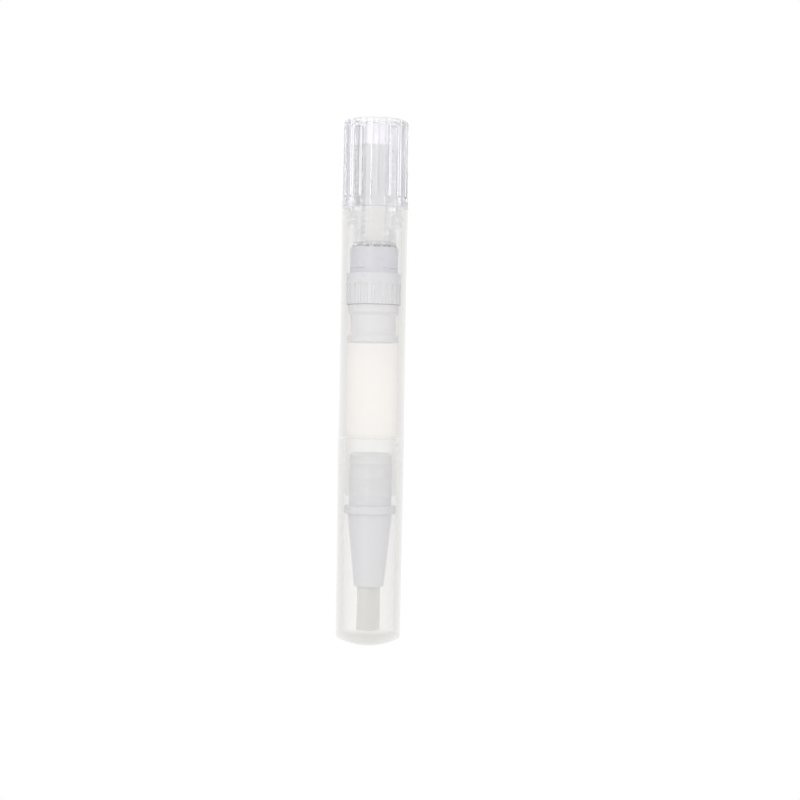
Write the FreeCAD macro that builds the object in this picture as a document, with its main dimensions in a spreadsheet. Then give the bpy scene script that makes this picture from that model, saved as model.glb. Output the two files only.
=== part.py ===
"""Twist-up nail oil pen: a frosted barrel with a brush nozzle under a pull-off cap, and a clear knob whose
screw rod feeds a piston towards the brush.

Lengths are millimetres. Heights in the sketches are measured along the pen from the tip of its cap, with the
knob uppermost. Each body is then lowered so that the origin lies on the axis, midway along the barrel's grip.
The lengths add up from the cap's floor to the knob's end. The radii start from the bores of the reservoir and
the brush's socket and from the screw rod.
"""
import FreeCAD
import Part
import Sketcher
import math
import os

# Driving dimensions: name, value, what it is.
SIZES = [
    ("cap_dome_rise", 1.5, "cap, height of the domed tip"),
    ("cap_edge_radius", 0.4, "cap, rounding round the dome"),
    ("cap_floor", 2.45, "cap, thickness of its end on the axis"),
    ("cap_draft", 0.175, "cap, how much the outside narrows from its mouth to the dome"),
    ("cap_overhang", 0.025, "cap, how far its mouth stands out past the barrel's shoulder"),
    ("cap_slack", 0.3, "between the cap's mouth and the barrel's neck"),
    ("cap_bore_draft", 0.45, "cap, how much the bore narrows from its mouth to its floor"),
    ("cap_lead_in", 0.25, "cap, chamfer inside its mouth"),
    ("cap_gap", 0.2, "between the cap's mouth and the barrel's shoulder"),
    ("neck_length", 10.4, "barrel, neck ahead of the shoulder"),
    ("neck_wall", 0.72, "barrel, wall of the neck"),
    ("neck_rim_chamfer", 0.3, "barrel, chamfer round the neck's end"),
    ("grip_bead_width", 0.9, "barrel, width of the beads that hold the cap"),
    ("grip_bead_pitch", 1.5, "barrel, spacing of those beads"),
    ("grip_bead_inset", 1.2, "barrel, first bead's distance from the shoulder"),
    ("grip_bead_gap", 0.03, "between those beads and the cap's bore"),
    ("reservoir_bore", 9.3, "barrel, width of the bore that holds the oil"),
    ("reservoir_floor", 0.8, "barrel, height of the reservoir's front above the shoulder"),
    ("throat_step", 0.62, "barrel, how much the reservoir's bore narrows into the neck"),
    ("barrel_wall", 1.25, "barrel, wall of the reservoir"),
    ("shoulder_rise", 0.05, "barrel, how far the flare to its shoulder stands out"),
    ("shoulder_flare", 6.6, "barrel, length of that flare"),
    ("mouth_rise", 0.1, "barrel, how far the flare to its mouth stands out"),
    ("mouth_flare", 6.8, "barrel, length of that flare"),
    ("bore_step_width", 0.3, "barrel, step from the reservoir out to the rear bore"),
    ("spline_count", 24, "barrel, ribs in the rear bore"),
    ("spline_width", 0.5, "barrel, width of a rib"),
    ("spline_height", 0.3, "barrel, height of a rib"),
    ("spline_length", 3.7, "barrel, length of a rib"),
    ("spline_gap", 0.04, "between the ribs and the nut's grooves"),
    ("knob_gap", 0.1, "between the knob's flange and the barrel's mouth"),
    ("knob_draft", 0.075, "knob, how much the head narrows to its end"),
    ("knob_crown", 0.4, "knob, rise of the end face"),
    ("knob_edge_radius", 0.35, "knob, rounding of the end's edge"),
    ("knob_end_wall", 1.4, "knob, wall behind the rod's bore"),
    ("flange_height", 1.2, "knob, height of the flange over the barrel's mouth"),
    ("flute_count", 16, "knob, flutes round the head"),
    ("flute_radius", 0.85, "knob, radius of a flute's hollow"),
    ("flute_depth", 0.4, "knob, depth of a flute"),
    ("flute_inset", 0.2, "knob, height of a flute's foot above the flange"),
    ("stem_length", 6.6, "knob, stem below the flange"),
    ("guide_length", 3.2, "knob, stretch of the stem that runs in the barrel"),
    ("running_gap", 0.06, "between the knob's stem and the barrel"),
    ("snap_height", 0.2, "knob, height of the bead that snaps into the barrel"),
    ("snap_width", 0.9, "knob, width of that bead"),
    ("snap_inset", 1.9, "knob, distance of that bead below the flange"),
    ("snap_gap", 0.08, "between that bead and its groove in the barrel"),
    ("tooth_count", 40, "click ring and knob, teeth round each crown"),
    ("tooth_height", 0.45, "click ring and knob, height of a tooth"),
    ("tooth_land", 0.06, "click ring and knob, flat crest of a tooth at the bore"),
    ("tooth_gap", 0.1, "between the two crowns of teeth"),
    ("ring_height", 4.65, "click ring, foot to the roots of its teeth"),
    ("ring_side_gap", 0.575, "between the click ring and the barrel"),
    ("ring_ledge", 0.375, "click ring, ledge round its crown of teeth"),
    ("ring_bore_gap", 0.35, "between the click ring and the screw rod"),
    ("slit_height", 0.25, "click ring, height of a springing slit"),
    ("slit_angle", 140.0, "click ring, sweep of a springing slit in degrees"),
    ("slit_inset", 0.75, "click ring, slits above the foot"),
    ("dog_width", 1.2, "click ring, width of a driving dog"),
    ("dog_depth", 0.9, "click ring, depth of a driving dog"),
    ("dog_gap", 0.06, "between the dogs and the nut's slots"),
    ("nut_length", 5.6, "drive nut, along the pen"),
    ("nut_gap", 0.03, "between the nut and the rear bore"),
    ("nut_face_chamfer", 0.4, "drive nut, chamfer at the mouths of its thread"),
    ("thread_gap", 0.1, "between the screw rod and the nut's bore"),
    ("screw_lead", 2.0, "screw rod, feed for each turn of the knob"),
    ("feed_turns", 8.0, "turns of the knob from full to empty"),
    ("rod_dia", 5.2, "screw rod, over its thread"),
    ("rod_flat_depth", 0.65, "screw rod, depth of its two flats"),
    ("rod_chamfer", 0.3, "screw rod, chamfer of its nose"),
    ("rod_hold", 1.45, "screw rod, length left in the knob's bore when fully fed"),
    ("rod_end_gap", 3.4, "between the rod's rear end and the end of the knob's bore"),
    ("key_gap", 0.06, "between the screw rod and the knob's bore"),
    ("nose_neck_dia", 2.8, "screw rod, neck of its nose"),
    ("nose_neck_length", 1.7, "screw rod, length of that neck"),
    ("nose_lip", 0.4, "screw rod, how far the head of its nose stands out past the neck"),
    ("nose_head_length", 1.6, "screw rod, length of that head"),
    ("swivel_gap", 0.1, "between the rod's nose and the piston"),
    ("piston_front_gap", 0.5, "between the piston and the reservoir's front, fully fed"),
    ("piston_rear_gap", 0.3, "between the piston and the nut, fully wound back"),
    ("piston_length", 6.5, "piston, along the pen"),
    ("piston_gap", 0.05, "between the piston's lips and the reservoir"),
    ("piston_waist_depth", 0.45, "piston, depth of the waist between its lips"),
    ("piston_lip", 1.1, "piston, width of a lip"),
    ("piston_lip_slope", 0.6, "piston, length of the slope from a lip to the waist"),
    ("piston_lip_wall", 0.5, "piston, wall of the front lip round its hollow"),
    ("piston_dish_width", 1.3, "piston, width of that hollow"),
    ("piston_dish_depth", 1.2, "piston, depth of that hollow"),
    ("nozzle_standoff", 1.7, "between the nozzle's collar and the neck, as supplied"),
    ("collar_height", 1.5, "nozzle, height of the collar, as wide as the neck"),
    ("collar_edge_radius", 0.2, "nozzle, rounding of the collar"),
    ("collar_step", 0.7, "nozzle, step from the collar in to the cone"),
    ("cone_length", 13.1, "nozzle, length of the cone"),
    ("tip_wall", 0.625, "nozzle, wall of the cone round the brush at its tip"),
    ("plug_length", 9.5, "nozzle, plug behind the collar"),
    ("plug_gap", 0.03, "between the plug's sealing beads and the neck"),
    ("plug_bead_height", 0.1, "nozzle, height of a sealing bead"),
    ("plug_bead_width", 0.8, "nozzle, width of a sealing bead"),
    ("plug_bead_inset", 1.9, "nozzle, first bead's distance from the plug's rear"),
    ("plug_bead_pitch", 2.6, "nozzle, spacing of the sealing beads"),
    ("plug_lead_in", 0.5, "nozzle, chamfer round the plug's rear"),
    ("plug_wall", 0.9, "nozzle, wall of the plug at its rear"),
    ("well_draft", 0.7, "nozzle, how much the hollow narrows from the plug's rear to the web"),
    ("web_thickness", 2.3, "nozzle, web that carries the feed tube"),
    ("socket_dia", 4.2, "nozzle, socket for the brush"),
    ("socket_depth", 5.0, "nozzle, depth of that socket"),
    ("tube_dia", 1.4, "feed tube, outside"),
    ("tube_wall", 0.3, "feed tube, wall"),
    ("tube_inset", 0.8, "feed tube, rear end's distance inside the plug"),
    ("tube_reach", 2.7, "feed tube, front end's distance past the nozzle's tip"),
    ("tube_gap", 0.02, "between the feed tube and what it passes through"),
    ("root_length", 1.8, "brush root, along the pen"),
    ("root_gap", 0.03, "between the brush root and its socket"),
    ("tuft_gap", 0.05, "between the brush tuft and its socket"),
    ("tuft_length", 7.95, "brush tuft, nozzle's tip to the cut end"),
    ("tuft_spread", 0.15, "brush tuft, how far it widens to its cut end"),
    ("tuft_floor_gap", 0.3, "between the brush's cut end and the cap's floor"),
]


class Length:
    """A length that knows both its number and the sheet formula that gives it."""

    def __init__(self, formula, number):
        self.formula = formula
        self.number = number

    def joined(self, sign, other, number):
        text = other.formula if isinstance(other, Length) else str(other)
        return Length("(%s %s %s)" % (self.formula, sign, text), number)

    def __add__(self, other):
        return self.joined("+", other, self.number + plain(other))

    def __sub__(self, other):
        return self.joined("-", other, self.number - plain(other))

    def __mul__(self, other):
        return self.joined("*", other, self.number * plain(other))

    def __truediv__(self, other):
        return self.joined("/", other, self.number / plain(other))

    def __neg__(self):
        return Length("(-%s)" % self.formula, -self.number)


def plain(value):
    return value.number if isinstance(value, Length) else value


AXIS = Length("0", 0.0)


class Sizes:
    """The sheet of driving dimensions, with each alias read as a Length."""

    def __init__(self, doc):
        self.sheet = doc.addObject("Spreadsheet::Sheet", "Sheet")
        for row, (name, value, note) in enumerate(SIZES, start=1):
            self.sheet.set("A%d" % row, note)
            self.sheet.set("B%d" % row, str(value))
            self.sheet.setAlias("B%d" % row, name)
            setattr(self, name, Length("Sheet." + name, value))
        doc.recompute()


class Heights:
    """Levels along the pen, from the cap's tip to the knob's end, that more than one piece is built to."""

    def __init__(self, s):
        stroke = s.screw_lead * s.feed_turns
        self.tuft_tip = s.cap_floor + s.tuft_floor_gap
        self.nozzle_tip = self.tuft_tip + s.tuft_length
        self.tube_front = self.nozzle_tip - s.tube_reach
        self.ledge = self.nozzle_tip + s.socket_depth
        self.root_front = self.ledge - s.root_length
        self.web_rear = self.ledge + s.web_thickness
        self.collar_front = self.nozzle_tip + s.cone_length
        self.collar_rear = self.collar_front + s.collar_height
        self.plug_rear = self.collar_rear + s.plug_length
        self.tube_rear = self.plug_rear - s.tube_inset
        self.neck_end = self.collar_rear + s.nozzle_standoff
        self.shoulder = self.neck_end + s.neck_length
        self.cap_mouth = self.shoulder - s.cap_gap
        self.reservoir_front = self.shoulder + s.reservoir_floor
        self.piston_front = self.reservoir_front + s.piston_front_gap + stroke
        self.piston_rear = self.piston_front + s.piston_length
        self.rod_shoulder = self.piston_rear + s.swivel_gap
        self.nose_neck = self.rod_shoulder - s.nose_neck_length
        self.nose_tip = self.nose_neck - s.nose_head_length
        self.bore_step = self.piston_rear + s.piston_rear_gap
        self.nut_rear = self.bore_step + s.nut_length
        self.ring_roots = self.nut_rear + s.ring_height
        self.ring_tips = self.ring_roots + s.tooth_height
        self.stem_tips = self.ring_tips + s.tooth_gap
        self.stem_roots = self.stem_tips + s.tooth_height
        self.flange = self.stem_tips + s.stem_length
        self.mouth = self.flange - s.knob_gap
        self.snap = self.flange - s.snap_inset
        self.head = self.flange + s.flange_height
        self.rod_rear = self.stem_roots + s.rod_hold + stroke
        self.rod_bore_end = self.rod_rear + s.rod_end_gap
        self.knob_end = self.rod_bore_end + s.knob_end_wall
        self.grip_middle = (self.shoulder + s.shoulder_flare + self.mouth - s.mouth_flare) / 2


class Radii:
    """Radii about the pen's axis that more than one piece is built to."""

    def __init__(self, s):
        self.reservoir = s.reservoir_bore / 2
        self.barrel = self.reservoir + s.barrel_wall
        self.shoulder = self.barrel + s.shoulder_rise
        self.mouth = self.barrel + s.mouth_rise
        self.rear_bore = self.reservoir + s.bore_step_width
        self.neck_bore = self.reservoir - s.throat_step
        self.neck = self.neck_bore + s.neck_wall
        self.cap_bore_mouth = self.neck + s.cap_slack
        self.cap_bore_floor = self.cap_bore_mouth - s.cap_bore_draft
        self.guide = self.rear_bore - s.running_gap
        self.ring = self.rear_bore - s.ring_side_gap
        self.crown = self.ring - s.ring_ledge
        self.rod = s.rod_dia / 2
        self.rod_flat = self.rod - s.rod_flat_depth
        self.rod_passage = self.rod + s.ring_bore_gap
        self.nose_neck = s.nose_neck_dia / 2
        self.nose_head = self.nose_neck + s.nose_lip
        self.socket = s.socket_dia / 2
        self.tube = s.tube_dia / 2
        self.tube_hole = self.tube + s.tube_gap


def new_body(doc, heights, label):
    """A body lowered so that the origin lies midway along the barrel's grip."""
    body = doc.addObject("PartDesign::Body", label)
    body.Label = label
    body.setExpression("Placement.Base.z", (-heights.grip_middle).formula)
    return body


def origin_plane(body, role):
    return next(item for item in body.Origin.OriginFeatures if item.Role == role)


def new_sketch(body, name, plane, height=None):
    """A sketch on one of the body's own planes, raised to a height along the pen where one is given."""
    sketch = body.newObject("Sketcher::SketchObject", name)
    sketch.AttachmentSupport = [(origin_plane(body, plane), "")]
    sketch.MapMode = "FlatFace"
    if height is not None:
        sketch.setExpression("AttachmentOffset.Base.z", height.formula)
    return sketch


def pin_point(sketch, edge, end, across, up):
    """Fix one end of an edge at two lengths from the sketch's origin."""
    for kind, length, zero_line in (("DistanceX", across, -2), ("DistanceY", up, -1)):
        if length is AXIS:
            sketch.addConstraint(Sketcher.Constraint("PointOnObject", edge, end, zero_line))
        else:
            row = sketch.addConstraint(Sketcher.Constraint(kind, -1, 1, edge, end, length.number))
            sketch.setExpression("Constraints[%d]" % row, length.formula)


def dome_arc(start, end):
    """First guess at a dome's arc, centred on the axis, with the apex at whichever end lies there."""
    low = start[0] is AXIS
    apex, foot = (start, end) if low else (end, start)
    rise = abs(apex[1].number - foot[1].number)
    ball = (foot[0].number ** 2 + rise ** 2) / (2 * rise)
    slope = math.asin(foot[0].number / ball)
    upright = math.pi / 2
    centre = FreeCAD.Vector(0, apex[1].number + (ball if low else -ball), 0)
    circle = Part.Circle(centre, FreeCAD.Vector(0, 0, 1), ball)
    if low:
        return Part.ArcOfCircle(circle, -upright, slope - upright)
    return Part.ArcOfCircle(circle, upright - slope, upright)


def outline(sketch, points):
    """A closed outline through (across, up) lengths, where a third word, dome, makes the next edge an arc."""
    count = len(points)
    for index, point in enumerate(points):
        after = points[(index + 1) % count]
        if "dome" in point:
            sketch.addGeometry(dome_arc(point, after), False)
            sketch.addConstraint(Sketcher.Constraint("PointOnObject", index, 3, -2))
        else:
            ends = [FreeCAD.Vector(item[0].number, item[1].number, 0) for item in (point, after)]
            sketch.addGeometry(Part.LineSegment(*ends), False)
    for index, point in enumerate(points):
        sketch.addConstraint(Sketcher.Constraint("Coincident", index, 2, (index + 1) % count, 1))
        pin_point(sketch, index, 1, point[0], point[1])
    return sketch


def turned(body, name, points):
    """A profile in the XZ plane turned about the pen's axis."""
    sketch = outline(new_sketch(body, name + "Profile", "XZ_Plane"), points)
    feature = body.newObject("PartDesign::Revolution", name)
    feature.Profile = sketch
    feature.ReferenceAxis = (sketch, ["V_Axis"])
    feature.Angle = 360.0
    return feature


def patterned(body, name, feature, axis, count):
    """Copies of a feature spaced evenly about an axis of its sketch, given as V_Axis or N_Axis."""
    pattern = body.newObject("PartDesign::PolarPattern", name)
    pattern.Originals = [feature]
    pattern.Axis = (feature.Profile[0], [axis])
    pattern.Angle = 360.0
    if isinstance(count, Length):
        pattern.setExpression("Occurrences", count.formula)
    else:
        pattern.Occurrences = count
    body.Tip = pattern
    return pattern


def ring_edges(feature, radius, height):
    """Names of the round edges of a feature that have this radius at this height."""
    names = []
    for number, edge in enumerate(feature.Shape.Edges, start=1):
        if edge.Degenerated or not isinstance(edge.Curve, Part.Circle):
            continue
        off = abs(edge.Curve.Radius - radius.number) + abs(edge.Curve.Center.z - height.number)
        if off < 1e-4:
            names.append("Edge%d" % number)
    return names


def rounded(body, name, feature, rims, radius):
    """Round the ring edges of a feature that lie at the given (radius, height) pairs."""
    body.Document.recompute()
    fillet = body.newObject("PartDesign::Fillet", name)
    fillet.Base = (feature, [edge for rim in rims for edge in ring_edges(feature, *rim)])
    fillet.setExpression("Radius", radius.formula)
    return fillet


def flat_sided(body, name, height, radius, flat):
    """A round section with flats facing front and back, at a height along the pen."""
    sketch = new_sketch(body, name + "Section", "XY_Plane", height)
    lean = math.asin(flat.number / radius.number)
    wide = radius.number * math.cos(lean)
    circle = Part.Circle(FreeCAD.Vector(0, 0, 0), FreeCAD.Vector(0, 0, 1), radius.number)
    for side, start in ((1, -lean), (-1, math.pi - lean)):
        sketch.addGeometry(Part.ArcOfCircle(circle, start, start + 2 * lean), False)
        corner = FreeCAD.Vector(side * wide, side * flat.number, 0)
        sketch.addGeometry(Part.LineSegment(corner, FreeCAD.Vector(-corner.x, corner.y, 0)), False)
    for edge in range(4):
        sketch.addConstraint(Sketcher.Constraint("Coincident", edge, 2, (edge + 1) % 4, 1))
    for arc in (0, 2):
        sketch.addConstraint(Sketcher.Constraint("Coincident", arc, 3, -1, 1))
    for line in (1, 3):
        sketch.addConstraint(Sketcher.Constraint("Horizontal", line))
    bound = (
        (Sketcher.Constraint("Radius", 0, radius.number), radius),
        (Sketcher.Constraint("DistanceY", -1, 1, 1, 1, flat.number), flat),
        (Sketcher.Constraint("DistanceY", 3, 1, -1, 1, flat.number), flat),
    )
    for constraint, length in bound:
        row = sketch.addConstraint(constraint)
        sketch.setExpression("Constraints[%d]" % row, length.formula)
    return sketch


def swept(body, kind, name, sketch, length, reverse=False):
    """A pad or pocket of a sketch, along its normal or against it."""
    feature = body.newObject(kind, name)
    feature.Profile = sketch
    feature.setExpression("Length", length.formula)
    feature.Reversed = reverse
    return feature


def block(body, name, plane, low, high, height=None):
    """A sketched rectangle between two (across, up) corners."""
    points = [low, (high[0], low[1]), high, (low[0], high[1])]
    return outline(new_sketch(body, name, plane, height), points)


def cap_bore_at(r, z, s, height):
    """Radius of the cap's tapered bore at a height."""
    share = (z.cap_mouth - height) / (z.cap_mouth - s.cap_floor)
    return r.cap_bore_mouth - s.cap_bore_draft * share


def bead(radius, crest, middle, width):
    """Points of a bead round a turned piece, with a flat crest half as wide as its foot."""
    return [
        (radius, middle - width / 2),
        (crest, middle - width / 4),
        (crest, middle + width / 4),
        (radius, middle + width / 2),
    ]


def make_cap(doc, s, r, z):
    """Frosted cap: drafted shell with a flat floor and a shallow domed tip."""
    body = new_body(doc, z, "cap")
    mouth = r.shoulder + s.cap_overhang
    end = mouth - s.cap_draft
    lead = z.cap_mouth - s.cap_lead_in
    shell = turned(body, "CapShell", [
        (AXIS, AXIS, "dome"),
        (end, s.cap_dome_rise),
        (mouth, z.cap_mouth),
        (r.cap_bore_mouth + s.cap_lead_in, z.cap_mouth),
        (cap_bore_at(r, z, s, lead), lead),
        (r.cap_bore_floor, s.cap_floor),
        (AXIS, s.cap_floor),
    ])
    rounded(body, "CapEdge", shell, [(end, s.cap_dome_rise)], s.cap_edge_radius)
    return body


def make_barrel(doc, s, r, z):
    """Frosted barrel: reservoir, wider ribbed rear bore, and a beaded neck that the cap grips."""
    body = new_body(doc, z, "barrel")
    groove = r.guide + s.snap_height + s.snap_gap
    groove_half = s.snap_width / 2 + s.snap_gap
    beads = []
    for place in (s.grip_bead_inset + s.grip_bead_pitch, s.grip_bead_inset):
        middle = z.shoulder - place
        crest = cap_bore_at(r, z, s, middle - s.grip_bead_width / 4) - s.grip_bead_gap
        beads += bead(r.neck, crest, middle, s.grip_bead_width)
    turned(body, "BarrelShell", [
        (r.neck_bore, z.neck_end),
        (r.neck - s.neck_rim_chamfer, z.neck_end),
        (r.neck, z.neck_end + s.neck_rim_chamfer),
        *beads,
        (r.neck, z.shoulder),
        (r.shoulder, z.shoulder),
        (r.barrel, z.shoulder + s.shoulder_flare),
        (r.barrel, z.mouth - s.mouth_flare),
        (r.mouth, z.mouth),
        (r.rear_bore, z.mouth),
        (r.rear_bore, z.snap + groove_half),
        (groove, z.snap + s.snap_width / 4),
        (groove, z.snap - s.snap_width / 4),
        (r.rear_bore, z.snap - groove_half),
        (r.rear_bore, z.bore_step),
        (r.reservoir, z.bore_step),
        (r.reservoir, z.reservoir_front),
        (r.neck_bore, z.reservoir_front - s.throat_step),
    ])
    half = s.spline_width / 2
    crest, foot = r.rear_bore - s.spline_height, r.rear_bore + s.spline_height
    section = block(body, "SplineSection", "XY_Plane", (crest, -half), (foot, half), z.bore_step)
    rib = swept(body, "PartDesign::Pad", "Spline", section, s.spline_length)
    patterned(body, "Splines", rib, "N_Axis", s.spline_count)
    return body


def crown_teeth(body, name, s, r, roots, tips, wall_first):
    """Sawtooth notches round a ring's end, each with an upright wall on one side and a ramp on the other."""
    notch_width = r.rod_passage * 2 * math.pi / s.tooth_count - s.tooth_land
    wall, ramp_end = (AXIS, notch_width) if wall_first else (notch_width, AXIS)
    sketch = outline(new_sketch(body, name + "Section", "XZ_Plane"), [
        (wall, roots),
        (ramp_end, tips),
        (wall, tips + tips - roots),
    ])
    notch = swept(body, "PartDesign::Pocket", name + "Notch", sketch, r.ring)
    patterned(body, name + "Teeth", notch, "V_Axis", s.tooth_count)


def make_knob(doc, s, r, z):
    """Clear knob: fluted head, flange over the barrel's mouth, and a hollow toothed stem."""
    body = new_body(doc, z, "knob")
    rim = z.knob_end - s.knob_crown
    end = r.barrel - s.knob_draft
    guide_foot = z.flange - s.guide_length
    head = turned(body, "KnobTurned", [
        (r.rod_passage, z.stem_tips),
        (r.crown, z.stem_tips),
        (r.crown, guide_foot - (r.guide - r.crown)),
        (r.guide, guide_foot),
        *bead(r.guide, r.guide + s.snap_height, z.snap, s.snap_width),
        (r.guide, z.flange),
        (r.mouth, z.flange),
        (r.mouth, z.head),
        (r.barrel, z.head),
        (end, rim, "dome"),
        (AXIS, z.knob_end),
        (AXIS, z.stem_roots),
        (r.rod_passage, z.stem_roots),
    ])
    rounded(body, "KnobEdge", head, [(end, rim)], s.knob_edge_radius)
    bore = flat_sided(body, "RodBore", z.stem_roots, r.rod + s.key_gap, r.rod_flat + s.key_gap)
    swept(body, "PartDesign::Pocket", "RodBore", bore, z.rod_bore_end - z.stem_roots, True)
    make_flutes(body, s, r, z)
    crown_teeth(body, "Stem", s, r, z.stem_roots, z.stem_tips, False)
    return body


def make_flutes(body, s, r, z):
    """Round-bottomed flutes down the head, each with a ball-shaped foot just above the flange."""
    middle = r.barrel + s.flute_radius - s.flute_depth
    edge = middle + s.flute_radius
    foot = z.head + s.flute_inset
    ball = foot + s.flute_radius
    top = z.knob_end + s.flute_radius
    sketch = new_sketch(body, "FluteProfile", "XZ_Plane")
    centre = FreeCAD.Vector(middle.number, ball.number, 0)
    circle = Part.Circle(centre, FreeCAD.Vector(0, 0, 1), s.flute_radius.number)
    places = ((edge, ball), (edge, top), (middle, top), (middle, foot))
    corners = [FreeCAD.Vector(across.number, up.number, 0) for across, up in places]
    sketch.addGeometry(Part.ArcOfCircle(circle, -math.pi / 2, 0), False)
    for start, end in zip(corners, corners[1:]):
        sketch.addGeometry(Part.LineSegment(start, end), False)
    for number in range(4):
        sketch.addConstraint(Sketcher.Constraint("Coincident", number, 2, (number + 1) % 4, 1))
    pin_point(sketch, 0, 3, middle, ball)
    for number, place in enumerate(places[:3], start=1):
        pin_point(sketch, number, 1, *place)
    sketch.addConstraint(Sketcher.Constraint("Vertical", 3))
    sketch.addGeometry(Part.LineSegment(corners[3], corners[2]), True)
    sketch.addConstraint(Sketcher.Constraint("Coincident", 4, 1, 3, 2))
    sketch.addConstraint(Sketcher.Constraint("Coincident", 4, 2, 3, 1))
    flute = body.newObject("PartDesign::Groove", "Flute")
    flute.Profile = sketch
    flute.ReferenceAxis = (sketch, ["Axis0"])
    flute.Angle = 360.0
    patterned(body, "Flutes", flute, "V_Axis", s.flute_count)


def make_click_ring(doc, s, r, z):
    """Springy ring keyed to the nut: sawtooth crown on top, slits that let it give, two dogs below."""
    body = new_body(doc, z, "click_ring")
    turned(body, "RingTurned", [
        (r.rod_passage, z.nut_rear),
        (r.ring, z.nut_rear),
        (r.ring, z.ring_roots),
        (r.crown, z.ring_roots),
        (r.crown, z.ring_tips),
        (r.rod_passage, z.ring_tips),
    ])
    crown_teeth(body, "Ring", s, r, z.ring_roots, z.ring_tips, True)
    low = z.nut_rear + s.slit_inset
    section = block(body, "SlitSection", "XZ_Plane", (r.rod, low), (r.rear_bore, low + s.slit_height))
    slit = body.newObject("PartDesign::Groove", "Slit")
    slit.Profile = section
    slit.ReferenceAxis = (section, ["V_Axis"])
    slit.setExpression("Angle", s.slit_angle.formula)
    slit.Midplane = True
    patterned(body, "Slits", slit, "V_Axis", 2)
    half = s.dog_width / 2
    inner, outer = r.rod_passage + s.dog_gap, r.ring - s.dog_gap
    section = block(body, "DogSection", "XY_Plane", (inner, -half), (outer, half), z.nut_rear)
    dog = swept(body, "PartDesign::Pad", "Dog", section, s.dog_depth, True)
    patterned(body, "Dogs", dog, "N_Axis", 2)
    return body


def make_drive_nut(doc, s, r, z):
    """Fixed nut: grooves over the barrel's ribs, and slots behind for the click ring's dogs."""
    body = new_body(doc, z, "drive_nut")
    bore = r.rod + s.thread_gap
    chamfered = bore + s.nut_face_chamfer
    outside = r.rear_bore - s.nut_gap
    turned(body, "NutTurned", [
        (chamfered, z.bore_step),
        (outside, z.bore_step),
        (outside, z.nut_rear),
        (chamfered, z.nut_rear),
        (bore, z.nut_rear - s.nut_face_chamfer),
        (bore, z.bore_step + s.nut_face_chamfer),
    ])
    half = s.spline_width / 2 + s.spline_gap
    root, brim = r.rear_bore - s.spline_height - s.spline_gap, r.rear_bore + s.spline_height
    section = block(body, "GrooveSection", "XY_Plane", (root, -half), (brim, half), z.bore_step)
    groove = swept(body, "PartDesign::Pocket", "NutGroove", section, s.spline_length + s.spline_gap, True)
    patterned(body, "NutGrooves", groove, "N_Axis", s.spline_count)
    half = s.dog_width / 2 + s.dog_gap
    section = block(body, "SlotSection", "XY_Plane", (AXIS, -half), (r.ring, half), z.nut_rear)
    slot = swept(body, "PartDesign::Pocket", "DogSlot", section, s.dog_depth + s.dog_gap)
    patterned(body, "DogSlots", slot, "N_Axis", 2)
    return body


def make_screw_rod(doc, s, r, z):
    """Lead screw with two flats that key it to the knob, and a headed nose that swivels in the piston."""
    body = new_body(doc, z, "screw_rod")
    section = flat_sided(body, "Rod", z.rod_shoulder, r.rod, r.rod_flat)
    swept(body, "PartDesign::Pad", "Rod", section, z.rod_rear - z.rod_shoulder)
    turned(body, "Nose", [
        (AXIS, z.nose_tip),
        (r.nose_head - s.rod_chamfer, z.nose_tip),
        (r.nose_head, z.nose_tip + s.rod_chamfer),
        (r.nose_head, z.nose_neck),
        (r.nose_neck, z.nose_neck),
        (r.nose_neck, z.rod_shoulder),
        (AXIS, z.rod_shoulder),
    ])
    return body


def make_piston(doc, s, r, z):
    """Piston with a lip at each end, a hollow behind the front lip and a socket for the rod's nose."""
    body = new_body(doc, z, "piston")
    lip = r.reservoir - s.piston_gap
    waist = lip - s.piston_waist_depth
    dish_outer = lip - s.piston_lip_wall
    dish_inner = dish_outer - s.piston_dish_width
    neck, head = r.nose_neck + s.swivel_gap, r.nose_head + s.swivel_gap
    head_rear, head_front = z.nose_neck + s.swivel_gap, z.nose_tip - s.swivel_gap
    front_lip, rear_lip = z.piston_front + s.piston_lip, z.piston_rear - s.piston_lip
    turned(body, "PistonTurned", [
        (AXIS, z.piston_front),
        (dish_inner, z.piston_front),
        (dish_inner + s.piston_dish_width / 2, z.piston_front + s.piston_dish_depth),
        (dish_outer, z.piston_front),
        (lip, z.piston_front),
        (lip, front_lip),
        (waist, front_lip + s.piston_lip_slope),
        (waist, rear_lip - s.piston_lip_slope),
        (lip, rear_lip),
        (lip, z.piston_rear),
        (neck, z.piston_rear),
        (neck, head_rear),
        (head, head_rear),
        (head, head_front),
        (AXIS, head_front),
    ])
    return body


def make_nozzle(doc, s, r, z):
    """Push-in nozzle: beaded hollow plug, collar, and a cone whose tip holds the brush."""
    body = new_body(doc, z, "nozzle")
    crest = r.neck_bore - s.plug_gap
    plug = crest - s.plug_bead_height
    well = plug - s.plug_wall
    beads = []
    for place in (s.plug_bead_inset + s.plug_bead_pitch, s.plug_bead_inset):
        beads += bead(plug, crest, z.plug_rear - place, s.plug_bead_width)
    shell = turned(body, "NozzleTurned", [
        (r.socket, z.nozzle_tip),
        (r.socket + s.tip_wall, z.nozzle_tip),
        (r.neck - s.collar_step, z.collar_front),
        (r.neck, z.collar_front),
        (r.neck, z.collar_rear),
        (plug, z.collar_rear),
        *beads,
        (plug, z.plug_rear - s.plug_lead_in),
        (plug - s.plug_lead_in, z.plug_rear),
        (well, z.plug_rear),
        (well - s.well_draft, z.web_rear),
        (r.tube_hole, z.web_rear),
        (r.tube_hole, z.ledge),
        (r.socket, z.ledge),
    ])
    rims = [(r.neck, z.collar_front), (r.neck, z.collar_rear)]
    rounded(body, "CollarEdges", shell, rims, s.collar_edge_radius)
    return body


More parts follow.
